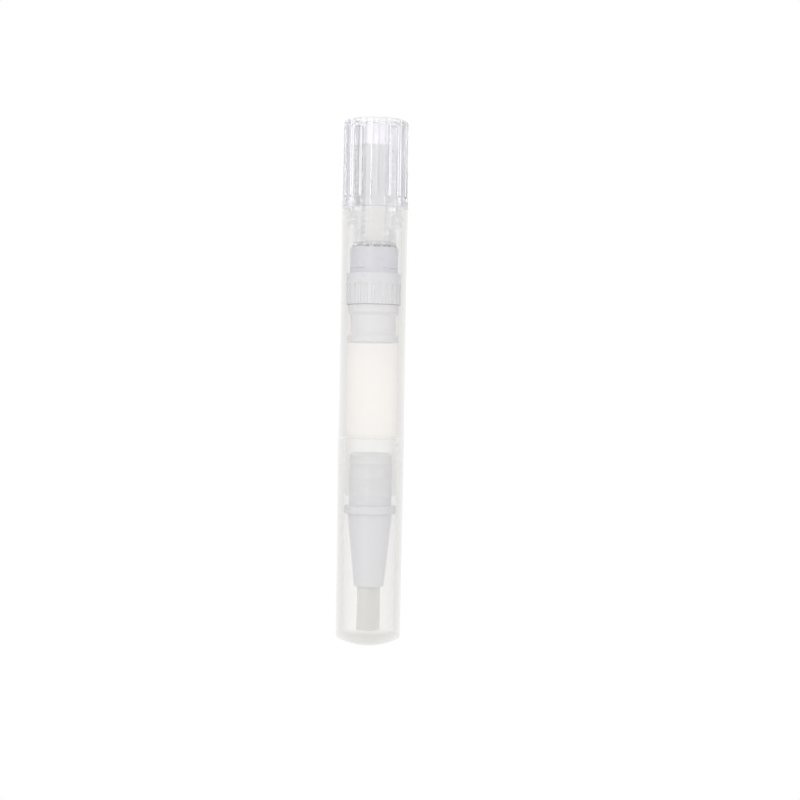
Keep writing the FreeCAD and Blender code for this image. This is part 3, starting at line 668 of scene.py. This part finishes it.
def barrel_shape():
    """Barrel with a beaded neck, a waisted grip, a groove for the knob's snap bead and the reservoir."""
    barrel, cap, nut = Span("barrel"), Span("cap"), Span("drive_nut")
    shoulder, grip = cap.high + CAP_GAP, barrel.radius - GRIP_INSET
    front_swell, front_run, rear_run = 0.05, 6.6, 6.8
    reservoir_front = shoulder + 0.8
    throat = reservoir_front - (RESERVOIR - NECK_BORE)
    snap, groove, half_groove, half_mouth = barrel.high + FLANGE_GAP - SNAP_DEPTH, 5.17, 0.225, 0.53
    neck_chamfer, bead_width = 0.3, 0.9
    beads = []
    for below in (2.7, 1.2):
        bore = CAP_BORE_MOUTH - cap_narrowing(cap) * (below - CAP_GAP)
        beads += bead(NECK, bore - BEAD_GAP, shoulder - below, bead_width)
    return turned([
        (NECK_BORE, barrel.low, 0.06),
        (NECK - neck_chamfer, barrel.low, 0.08),
        (NECK, barrel.low + neck_chamfer, 0.08),
        *beads,
        (NECK, shoulder, 0.06),
        (grip + front_swell, shoulder, 0.1),
        (grip, shoulder + front_run),
        (grip, barrel.high - rear_run),
        (barrel.depth, barrel.high, 0.1),
        (REAR_BORE, barrel.high, 0.08),
        (REAR_BORE, snap + half_mouth, 0.06),
        (groove, snap + half_groove, 0.06),
        (groove, snap - half_groove, 0.06),
        (REAR_BORE, snap - half_mouth, 0.06),
        (REAR_BORE, nut.low, 0.03),
        (RESERVOIR, nut.low, 0.03),
        (RESERVOIR, reservoir_front, 0.1),
        (NECK_BORE, throat, 0.1),
    ])


def barrel_ribs(count, material):
    """Ribs of the barrel's rear bore, rooted a hair inside its wall.

    They nearly fill their grooves in the nut, so that the running gaps don't show as dark lines.
    """
    nut = Span("drive_nut")
    crest, root, half = REAR_BORE - 0.3, REAR_BORE + 0.01, 0.283
    ease, draft, blunt, lift = 0.06, 0.02, 0.09, 0.02
    mesh = bmesh.new()
    section = ((root, -half), (root, half), (crest + ease, half - draft), (crest, half - blunt),
               (crest, blunt - half), (crest + ease, draft - half))
    ends = [[mesh.verts.new((x * MM, y * MM, level * MM)) for x, y in section]
            for level in (nut.low + lift, nut.low + RIB_LENGTH)]
    skinned(ends, mesh)
    for end in ends:
        mesh.faces.new(end)
    rib = settled(mesh, "one_rib")
    return grown("barrel_ribs", rib, copies_tree(), {"Count": count, "Material": material})


def crown_teeth(name, roots, count, material, rising):
    """A crown of sawteeth, each over one pitch, which stand up from the roots or hang down from them."""
    mesh = bmesh.new()
    steps, sunk, way, parting = 3, 0.02, 1 if rising else -1, 0.002
    pitch = math.tau / count
    rings = []
    for step in range(steps + 1):
        share = step / steps
        height = TOOTH_HEIGHT * ((1 - share) if rising else share)
        angle = pitch * (parting + (1 - 2 * parting) * share)
        foot, crest = roots - way * sunk, roots + way * height
        rings.append(ring_at(mesh, [
            (ROD_PASSAGE, angle, foot), (CROWN, angle, foot), (CROWN, angle, crest),
            (ROD_PASSAGE, angle, crest)]))
    skinned(rings, mesh)
    mesh.faces.new(rings[0])
    mesh.faces.new(rings[-1])
    tooth = settled(mesh, "one_tooth")
    return grown(name, tooth, copies_tree(), {"Count": count, "Material": material})


def knob_shape(sizes):
    """Clear knob: flat-sided bore, toothless stem, guide with a snap bead, flange and fluted domed head."""
    knob, barrel, rod = Span("knob"), Span("barrel"), Span("screw_rod")
    flange_height, dome_rise, guide_length, spare_bore, flute_start = 1.2, 0.4, 3.2, 3.4, 0.2
    running_gap, bead_height, bead_width = 0.06, 0.2, 0.9
    flange = barrel.high + FLANGE_GAP
    head, rim = flange + flange_height, knob.high - dome_rise
    foot_radius, rim_radius = barrel.radius - GRIP_INSET, barrel.radius - END_INSET
    guide, guide_foot, snap = REAR_BORE - running_gap, flange - guide_length, flange - SNAP_DEPTH
    roots, bore_end = knob.low + TOOTH_HEIGHT, rod.high + spare_bore
    bore, flat = rod.radius + running_gap, rod.radius - ROD_FLAT_DEPTH + running_gap
    count, hollow = sizes.flute_count, sizes.flute_radius / MM
    pitch = math.tau / count
    middle = foot_radius + hollow - sizes.flute_depth / MM
    ball = head + flute_start + hollow
    across, land, scoop_steps = 10, 4, 8

    def half_cut(radius, level):
        """Half angle of a flute where it cuts this radius, and the flute's own radius there."""
        reach = hollow if level >= ball else math.sqrt(max(hollow ** 2 - (ball - level) ** 2, 0))
        if middle - reach >= radius - TINY:
            return 0, reach
        cosine = (radius ** 2 + middle ** 2 - reach ** 2) / (2 * radius * middle)
        return math.acos(min(cosine, 1)), reach

    spread = half_cut(foot_radius, ball)[0]

    def head_row(radius, level):
        """Places round the head at one level, hollowed where the flutes cut it."""
        half, reach = half_cut(radius, level)
        width = half or spread
        row = []
        for number in range(count):
            start = number * pitch
            for step in range(across):
                lean = width * (2 * step / across - 1)
                inner = radius
                if half:
                    gap = max(reach ** 2 - (middle * math.sin(lean)) ** 2, 0)
                    inner = min(radius, middle * math.cos(lean) - math.sqrt(gap))
                row.append((inner, start + lean, level))
            for step in range(land):
                row.append((radius, start + width + (pitch - 2 * width) * step / land, level))
        return row

    def plain_row(radius, level, flats=False):
        """Places round the stem or the bore, at the angles of a head's row that no flute cuts."""
        uncut = foot_radius - 3 * hollow
        angles = [angle for _, angle, _ in head_row(uncut, level)]
        outs = [min(radius, flat_reach(flat, angle)) if flats else radius for angle in angles]
        return [(out, angle, level) for out, angle in zip(outs, angles)]

    stem = eased([
        (bore, roots),
        (CROWN, roots, 0.04),
        (CROWN, guide_foot - (guide - CROWN), 0.15),
        (guide, guide_foot, 0.1),
        *bead(guide, guide + bead_height, snap, bead_width),
        (guide, flange),
        (barrel.depth, flange, 0.08),
        (barrel.depth, head, 0.1),
        (foot_radius, head),
    ])[1:]
    first = math.asin((middle - foot_radius) / hollow)
    turns = [first + (math.pi / 2 - first) * step / scoop_steps for step in range(1, scoop_steps + 1)]
    scoop = [ball - hollow * math.cos(turn) for turn in turns]
    taper = (foot_radius - rim_radius) / (rim - head)
    levels = (head + 0.25, *scoop, ball + 4, ball + 8)
    side = [(foot_radius - taper * (level - head), level) for level in levels]
    crown = list(reversed(dome(rim_radius, rim, knob.high, 8)))
    top = eased([side[-1], (rim_radius, rim, 0.35), *crown])[1:]
    mesh = bmesh.new()
    rows = [[(0, 0, bore_end)]]
    rows += [plain_row(bore, level, flats=True) for level in (bore_end, roots)]
    rows += [plain_row(radius, level) for radius, level in stem]
    rows += [head_row(radius, level) for radius, level in side]
    rows += [head_row(radius, level) if radius > TINY else [(0, 0, level)] for radius, level in top]
    skinned([ring_at(mesh, row) for row in rows], mesh)
    return mesh


def ring_shape():
    """Click ring under its crown: two springing slits, and two dogs that key it to the nut."""
    ring, nut = Span("click_ring"), Span("drive_nut")
    foot, roots = nut.high, ring.high - TOOTH_HEIGHT
    slit, slit_height, slit_half = foot + 0.85, 0.05, 70
    dog, dog_inset = half_angle(half_width=0.6, radius=3.66), 0.06
    radii = (ROD_PASSAGE, ROD_PASSAGE + dog_inset, CROWN, ring.radius - dog_inset, ring.radius)
    levels = (ring.low, foot, slit, slit + slit_height, roots)
    edges = [side + lean for side in (0, 180) for lean in (-dog, dog, -slit_half, slit_half)]

    def filled(radius, angle, level):
        aside = min(off_axis(angle, 0), off_axis(angle, 180))
        if level < foot:
            return radii[1] < radius < radii[3] and aside < dog
        if slit < level < slit + slit_height:
            return aside > slit_half
        return True

    return of_cells(radii, spokes(edges), levels, filled)


def nut_shape(sizes):
    """Drive nut: grooves over the barrel's ribs, slots for the click ring's dogs, and a chamfered bore."""
    nut, ring, rod = Span("drive_nut"), Span("click_ring"), Span("screw_rod")
    bore, web, outer, root = rod.radius + 0.1, 3.3, REAR_BORE - 0.03, REAR_BORE - 0.34
    groove = half_angle(half_width=0.29, radius=REAR_BORE - 0.15)
    slot = half_angle(half_width=0.66, radius=3.6)
    pitch = 360 / sizes.rib_count
    deep, slot_floor = nut.low + RIB_LENGTH + 0.04, nut.high - 0.96
    chamfer, edge, near = 0.4, 0.06, 0.01
    radii = (bore, web, ring.radius, root, outer)
    levels = (nut.low, nut.low + chamfer, deep, slot_floor, nut.high - chamfer, nut.high)
    edges = [number * pitch + lean for number in range(sizes.rib_count) for lean in (-groove, groove)]
    edges += [side + lean for side in (0, 180) for lean in (-slot, slot)]

    def filled(radius, angle, level):
        if radius > root and level < deep:
            return off_axis(angle, round(math.degrees(angle) / pitch) * pitch) > groove
        if radius < ring.radius and level > slot_floor:
            return min(off_axis(angle, 0), off_axis(angle, 180)) > slot
        return True

    mesh = of_cells(radii, spokes(edges), levels, filled)
    for vertex in mesh.verts:
        out, level = math.hypot(vertex.co.x, vertex.co.y) / MM, vertex.co.z / MM
        if out < bore + near and not nut.low + near < level < nut.high - near:
            vertex.co.xy *= (bore + chamfer) / bore
        if out > root - near and level < nut.low + near:
            vertex.co.xy *= (out - edge) / out
    return mesh


def rod_shape(sizes):
    """Lead screw: a headed nose, then a thread cut away by two flats, with a chamfer at its rear end."""
    rod, piston = Span("screw_rod"), Span("piston")
    shoulder = piston.high + NOSE_GAP
    nose_rear = shoulder - NOSE_LENGTH
    flat, depth, lead = rod.radius - ROD_FLAT_DEPTH, sizes.thread_depth / MM, sizes.thread_lead / MM
    columns, rise, steepness, root_width = 96, 0.1, 6, 0.7
    nose_chamfer, rear_chamfer, edge = 0.3, 0.25, 0.05
    angles = [math.tau * column / columns for column in range(columns)]

    def ridge(angle, level):
        """Height of the thread here, from 0 at its root to 1 at its crest."""
        turn = (level - lead * angle / math.tau) * sizes.thread_starts / lead % 1
        return min(max((0.5 - abs(turn - 0.5)) * steepness - root_width, 0), 1)

    def thread_row(level):
        """Places round the threaded length at one level."""
        end = rod.radius - max(rear_chamfer - (rod.high - level), 0)
        row = []
        for angle in angles:
            out = rod.radius - depth * (1 - ridge(angle, level))
            row.append((min(out, end, flat_reach(flat, angle)), angle, level))
        return row

    nose = eased([
        (0, rod.low),
        (NOSE_HEAD - nose_chamfer, rod.low, edge),
        (NOSE_HEAD, rod.low + nose_chamfer, edge),
        (NOSE_HEAD, nose_rear, edge),
        (NOSE_NECK, nose_rear, edge),
        (NOSE_NECK, shoulder),
    ])
    mesh = bmesh.new()
    rows = [[(radius, angle, level) for angle in angles] for radius, level in nose]
    steps = round((rod.high - shoulder) / rise)
    rows += [thread_row(shoulder + (rod.high - shoulder) * step / steps) for step in range(steps + 1)]
    rows.append([(0, 0, rod.high)])
    skinned([ring_at(mesh, row) for row in rows], mesh)
    return mesh


def piston_shape():
    """Piston with two wiping lips, a hollow front and a swivel seat for the rod's nose.

    Its rear rim has a low crest, so that the gap under the nut doesn't show as a dark band.
    """
    piston, rod = Span("piston"), Span("screw_rod")
    low, high, lip, waist = piston.low, piston.high, piston.radius, piston.radius - 0.45
    front_hollow = ((lip - 1.8, low, 0.08), (lip - 1.15, low + 1.2, 0.15), (lip - 0.5, low, 0.08))
    crest, crest_inner, crest_foot = high + 0.25, lip - 0.9, lip - 1.2
    neck, head = NOSE_NECK + NOSE_GAP, NOSE_HEAD + NOSE_GAP
    head_front, head_rear = rod.low - NOSE_GAP, high + NOSE_GAP - NOSE_LENGTH + NOSE_GAP
    lip_height, slope_end = 1.1, 1.7
    return turned([
        (0, low),
        *front_hollow,
        (lip, low, 0.08),
        (lip, low + lip_height, 0.1),
        (waist, low + slope_end, 0.1),
        (waist, high - slope_end, 0.1),
        (lip, high - lip_height, 0.1),
        (lip, crest, 0.06),
        (crest_inner, crest, 0.1),
        (crest_foot, high, 0.1),
        (neck, high, 0.06),
        (neck, head_rear, 0.05),
        (head, head_rear),
        (head, head_front),
        (0, head_front),
    ])


def nozzle_shape():
    """Nozzle: brush socket, cone, collar, beaded plug and the funnel that leads to the feed tube."""
    nozzle, root = Span("nozzle"), Span("brush_root")
    cone_length, collar_height, tip_wall, chamfer, edge = 13.1, 1.5, 0.625, 0.5, 0.08
    collar_front = nozzle.low + cone_length
    collar_rear, funnel_end = collar_front + collar_height, root.high + 2.3
    bead_height, bead_width = 0.1, 0.8
    crest = NECK_BORE - BEAD_GAP
    plug, cone_base = crest - bead_height, NECK - 0.7
    funnel_mouth, funnel_foot = plug - 0.9, plug - 1.6
    beads = []
    for inset in (4.5, 1.9):
        beads += bead(plug, crest, nozzle.high - inset, bead_width)
    return turned([
        (SOCKET, nozzle.low, 0.06),
        (SOCKET + tip_wall, nozzle.low, 0.12),
        (cone_base, collar_front, 0.1),
        (NECK, collar_front, 0.2),
        (NECK, collar_rear, 0.2),
        (plug, collar_rear, edge),
        *beads,
        (plug, nozzle.high - chamfer, edge),
        (plug - chamfer, nozzle.high, edge),
        (funnel_mouth, nozzle.high, edge),
        (funnel_foot, funnel_end, 0.2),
        (TUBE_HOLE, funnel_end),
        (TUBE_HOLE, root.high),
        (SOCKET, root.high),
    ])


def tube_shape():
    """Thin feed tube on the nozzle's axis."""
    tube, wall = Span("feed_tube"), 0.3
    bore = tube.radius - wall
    return turned([
        (bore, tube.low, 0.05), (tube.radius, tube.low, 0.08), (tube.radius, tube.high, 0.08),
        (bore, tube.high, 0.05)], columns=48)


def root_shape():
    """Fused foot of the bristles, with a hole for the feed tube."""
    root, edge = Span("brush_root"), 0.1
    return turned([
        (TUBE_HOLE, root.low), (root.radius, root.low, edge), (root.radius, root.high, edge),
        (TUBE_HOLE, root.high)], columns=72)


# Operators

class PEN_OT_shell(bpy.types.Operator):
    """Build the frosted cap and barrel, with the ribs inside the barrel"""

    bl_idname = "nail_pen.shell"
    bl_label = "Cap and barrel"

    def execute(self, context):
        colours = context.scene.pen_colours
        frost, hazier = frosted_polypropylene(colours), frosted_ribs(colours)
        placed("frosted_cap", cap_shape(), frost, "cap", "frosted_shell", "cap")
        placed("frosted_barrel", barrel_shape(), frost, "barrel", "frosted_shell", "barrel")
        ribs = barrel_ribs(context.scene.pen_sizes.rib_count, hazier)
        placed("barrel_ribs", ribs, hazier, "barrel", "frosted_shell")
        return {"FINISHED"}


class PEN_OT_knob(bpy.types.Operator):
    """Build the clear knob and the teeth round its stem"""

    bl_idname = "nail_pen.knob"
    bl_label = "Knob"

    def execute(self, context):
        sizes = context.scene.pen_sizes
        clear = clear_styrene(context.scene.pen_colours)
        placed("clear_knob", knob_shape(sizes), clear, "knob", "clear_knob", "knob")
        roots = Span("knob").low + TOOTH_HEIGHT
        teeth = crown_teeth("stem_teeth", roots, sizes.tooth_count, clear, rising=False)
        placed("stem_teeth", teeth, clear, "knob", "clear_knob")
        return {"FINISHED"}


class PEN_OT_drive(bpy.types.Operator):
    """Build the drive nut and the toothed click ring behind it"""

    bl_idname = "nail_pen.drive"
    bl_label = "Nut and click ring"

    def execute(self, context):
        sizes, colours = context.scene.pen_sizes, context.scene.pen_colours
        # greased here is the ring teeth's dark-blotched acetal
        cool, natural, greased = cool_acetal(colours), natural_acetal(colours), blotched_acetal(colours)
        placed("splined_nut", nut_shape(sizes), natural, "barrel", "drive_plastic", "drive_nut")
        placed("slit_ring", ring_shape(), cool, "barrel", "drive_plastic", "click_ring")
        roots = Span("click_ring").high - TOOTH_HEIGHT
        teeth = crown_teeth("ring_teeth", roots, sizes.tooth_count, greased, rising=True)
        placed("ring_teeth", teeth, greased, "barrel", "drive_plastic")
        return {"FINISHED"}


class PEN_OT_feed(bpy.types.Operator):
    """Build the threaded rod and the piston that it pushes"""

    bl_idname = "nail_pen.feed"
    bl_label = "Screw rod and piston"

    def execute(self, context):
        white = white_polypropylene(context.scene.pen_colours)
        soft = soft_polypropylene(context.scene.pen_colours)
        rod = rod_shape(context.scene.pen_sizes)
        placed("threaded_rod", rod, white, "screw_rod", "natural_plastic", "screw_rod")
        placed("lipped_piston", piston_shape(), soft, "piston", "natural_plastic", "piston")
        return {"FINISHED"}


class PEN_OT_nozzle(bpy.types.Operator):
    """Build the push-in nozzle and its feed tube"""

    bl_idname = "nail_pen.nozzle"
    bl_label = "Nozzle and feed tube"

    def execute(self, context):
        milky = milky_polypropylene(context.scene.pen_colours)
        placed("brush_nozzle", nozzle_shape(), milky, "nozzle", "natural_plastic", "nozzle")
        placed("oil_tube", tube_shape(), milky, "nozzle", "natural_plastic", "feed_tube")
        return {"FINISHED"}


class PEN_OT_brush(bpy.types.Operator):
    """Build the brush: a fused root, bristles round the feed tube and shorter ones below its end"""

    bl_idname = "nail_pen.brush"
    bl_label = "Brush"

    def execute(self, context):
        sizes = context.scene.pen_sizes
        nylon = nylon_bristle(context.scene.pen_colours)
        placed("fused_root", root_shape(), nylon, "nozzle", "bristle", "brush_root")
        tuft, tube, nozzle = Span("brush_tuft"), Span("feed_tube"), Span("nozzle")
        gap, rim_pitch, core_rim = 0.05, sizes.bristle_width * 0.92, 12
        half_width = sizes.bristle_width / MM / 2
        outside, core_top = SOCKET - gap - half_width, tube.low - gap
        length = tuft.high - tuft.low
        flare = (tuft.radius - outside - half_width) * length / (nozzle.low - tuft.low)
        common = {"Width": sizes.bristle_width, "Spacing": sizes.bristle_spacing, "Material": nylon}
        skirt = grown("tuft_bristles", bpy.data.meshes.new("tuft_seat"), bristle_tree(), {
            **common, "Radius": outside * MM, "Hole": (TUBE_HOLE + half_width) * MM, "Length": length * MM,
            "Spread": flare * MM, "Lean": sizes.tuft_lean, "Level": tuft.high * MM,
            "Rim": round(math.tau * outside * MM / rim_pitch), "Seed": sizes.tuft_seed})
        placed("tuft_bristles", skirt, nylon, "nozzle", "bristle", "brush_tuft")
        core = grown("core_bristles", bpy.data.meshes.new("core_seat"), bristle_tree(), {
            **common, "Radius": TUBE_HOLE * MM, "Hole": 0.0, "Length": (core_top - tuft.low) * MM,
            "Spread": 0.0, "Lean": sizes.tuft_lean / 2, "Level": core_top * MM, "Rim": core_rim,
            "Seed": sizes.tuft_seed + 1})
        placed("core_bristles", core, nylon, "nozzle", "bristle")
        return {"FINISHED"}


class PEN_OT_stage(bpy.types.Operator):
    """Set the camera, the soft lamps, the white surround, the floor and the cards"""

    bl_idname = "nail_pen.stage"
    bl_label = "Camera, light and floor"

    def execute(self, context):
        scene, stage = context.scene, context.scene.pen_stage
        scene.view_settings.view_transform = "Standard"
        # Light crosses many walls of clear plastic, one inside the other, before it leaves the pen
        for kind in ("max", "transmission", "glossy", "transparent_max"):
            setattr(scene.cycles, kind + "_bounces", 48)
        scene.cycles.diffuse_bounces = 12
        self.camera(scene, stage)
        self.lamp(scene, "Key", stage.key_power, size=0.45, place=(-0.28, -0.42, 0.3))
        self.lamp(scene, "Fill", stage.fill_power, size=0.6, place=(0.5, -0.3, 0.05))
        strip = self.lamp(scene, "Strip", stage.strip_power, size=0.012, place=(-0.146, -0.478, 0.0))
        strip.shape, strip.size_y = "RECTANGLE", 0.5
        self.surround(scene, stage)
        self.floor(scene, stage)
        self.card(scene, "left_card", bearing=-75, away=0.5, half_width=0.31, shade="#C0C0C8")
        self.card(scene, "left_edge", bearing=-69, away=0.47, half_width=0.045, shade="#2C2C34")
        self.card(scene, "right_card", bearing=75, away=0.5, half_width=0.31, shade="#DADAE0")
        self.card(scene, "right_edge", bearing=53, away=0.47, half_width=0.026, shade="#B0B0BA")
        return {"FINISHED"}

    def camera(self, scene, stage):
        """A long lens that looks straight across the pen"""
        lens = bpy.data.cameras.new("Camera")
        lens.lens, lens.sensor_width = stage.lens, 36
        lens.clip_start, lens.clip_end = 0.01, 20
        camera = bpy.data.objects.new("Camera", lens)
        upright = Euler((math.pi / 2, 0, 0)).to_matrix().to_4x4()
        camera.matrix_world = (Matrix.Translation((stage.aside, -stage.distance, stage.level))
                               @ Matrix.Rotation(stage.roll, 4, "Y") @ upright)
        scene.collection.objects.link(camera)
        scene.camera = camera

    def card(self, scene, name, bearing, away, half_width, shade):
        """An upright card that only gloss and clear plastic see; its bearing is from straight behind"""
        data = bpy.data.meshes.new(name)
        turn, half_height = Matrix.Rotation(-math.radians(bearing), 3, "Z"), 0.3
        corners = ((-1, -1), (1, -1), (1, 1), (-1, 1))
        data.from_pydata([turn @ Vector((way * half_width, away, up * half_height)) for way, up in corners],
                         [], [(0, 1, 2, 3)])
        paint = bpy.data.materials.new(name)
        paint.use_nodes = True
        tree = paint.node_tree
        tree.nodes.clear()
        glow = add_node(tree, "ShaderNodeEmission", {"Color": (*linear(shade), 1.0), "Strength": 1.0})
        add_node(tree, "ShaderNodeOutputMaterial", {"Surface": glow})
        data.materials.append(paint)
        card = bpy.data.objects.new(name, data)
        card.visible_camera = card.visible_diffuse = card.visible_shadow = False
        scene.collection.objects.link(card)

    def lamp(self, scene, name, power, size, place):
        """A soft square lamp, size across, that faces the frame's origin"""
        light = bpy.data.lights.new(name, "AREA")
        light.energy, light.size = power, size
        lamp = bpy.data.objects.new(name, light)
        lamp.location = place
        lamp.rotation_euler = (-Vector(place)).to_track_quat("-Z", "Y").to_euler()
        lamp.visible_camera = False
        scene.collection.objects.link(lamp)
        return light

    def surround(self, scene, stage):
        """White for what looks at it, straight or through the pen, and a plain level of light on the pen"""
        world = bpy.data.worlds.new("Surround")
        world.use_nodes = True
        tree = world.node_tree
        tree.nodes.clear()
        ray = add_node(tree, "ShaderNodeLightPath").outputs
        seen = ray["Is Camera Ray"]
        for kind in ("Is Glossy Ray", "Is Transmission Ray"):
            seen = add_node(tree, "ShaderNodeMath", {0: seen, 1: ray[kind]}, operation="MAXIMUM")
        level = add_node(tree, "ShaderNodeMapRange", {
            "Value": seen, "To Min": stage.room_light, "To Max": 1.0})
        glow = add_node(tree, "ShaderNodeBackground", {"Color": (1.0, 1.0, 1.0, 1.0), "Strength": level})
        add_node(tree, "ShaderNodeOutputWorld", {"Surface": glow})
        scene.world = world

    def floor(self, scene, stage):
        """A pale matt floor well below the pen"""
        mesh = bmesh.new()
        bmesh.ops.create_circle(mesh, cap_ends=True, segments=96, radius=0.6)
        drop = Span("cap").low * MM - stage.floor_drop
        bmesh.ops.translate(mesh, verts=mesh.verts[:], vec=(0, 0, drop))
        data = bpy.data.meshes.new("floor")
        mesh.to_mesh(data)
        mesh.free()
        paper = bpy.data.materials.new("white_paper")
        paper.use_nodes = True
        surface = paper.node_tree.nodes["Principled BSDF"].inputs
        surface["Base Color"].default_value = (*linear("#F5F5F5"), 1.0)
        surface["Roughness"].default_value = 0.9
        data.materials.append(paper)
        floor = bpy.data.objects.new("floor", data)
        scene.collection.objects.link(floor)


class PEN_PT_panel(bpy.types.Panel):
    """Lists the steps that build the pen"""

    bl_idname = "PEN_PT_panel"
    bl_label = "Nail Oil Pen"
    bl_space_type = "VIEW_3D"
    bl_region_type = "UI"
    bl_category = "Nail Oil Pen"

    def draw(self, context):
        for operator in OPERATORS:
            self.layout.operator(operator.bl_idname)
        for group in (context.scene.pen_sizes, context.scene.pen_colours, context.scene.pen_stage):
            for name in group.__annotations__:
                self.layout.prop(group, name)


OPERATORS = (PEN_OT_shell, PEN_OT_knob, PEN_OT_drive, PEN_OT_feed, PEN_OT_nozzle, PEN_OT_brush, PEN_OT_stage)
GROUPS = (("pen_sizes", PenSizes), ("pen_colours", PenColours), ("pen_stage", PenStage))


def register():
    for name, group in GROUPS:
        bpy.utils.register_class(group)
        setattr(bpy.types.Scene, name, PointerProperty(type=group))
    for kind in (*OPERATORS, PEN_PT_panel):
        bpy.utils.register_class(kind)


def unregister():
    for kind in (PEN_PT_panel, *reversed(OPERATORS)):
        bpy.utils.unregister_class(kind)
    for name, group in reversed(GROUPS):
        delattr(bpy.types.Scene, name)
        bpy.utils.unregister_class(group)


def main():
    register()
    bpy.ops.nail_pen.shell()
    bpy.ops.nail_pen.knob()
    bpy.ops.nail_pen.drive()
    bpy.ops.nail_pen.feed()
    bpy.ops.nail_pen.nozzle()
    bpy.ops.nail_pen.brush()
    bpy.ops.nail_pen.stage()


if __name__ == "__main__":
    main()
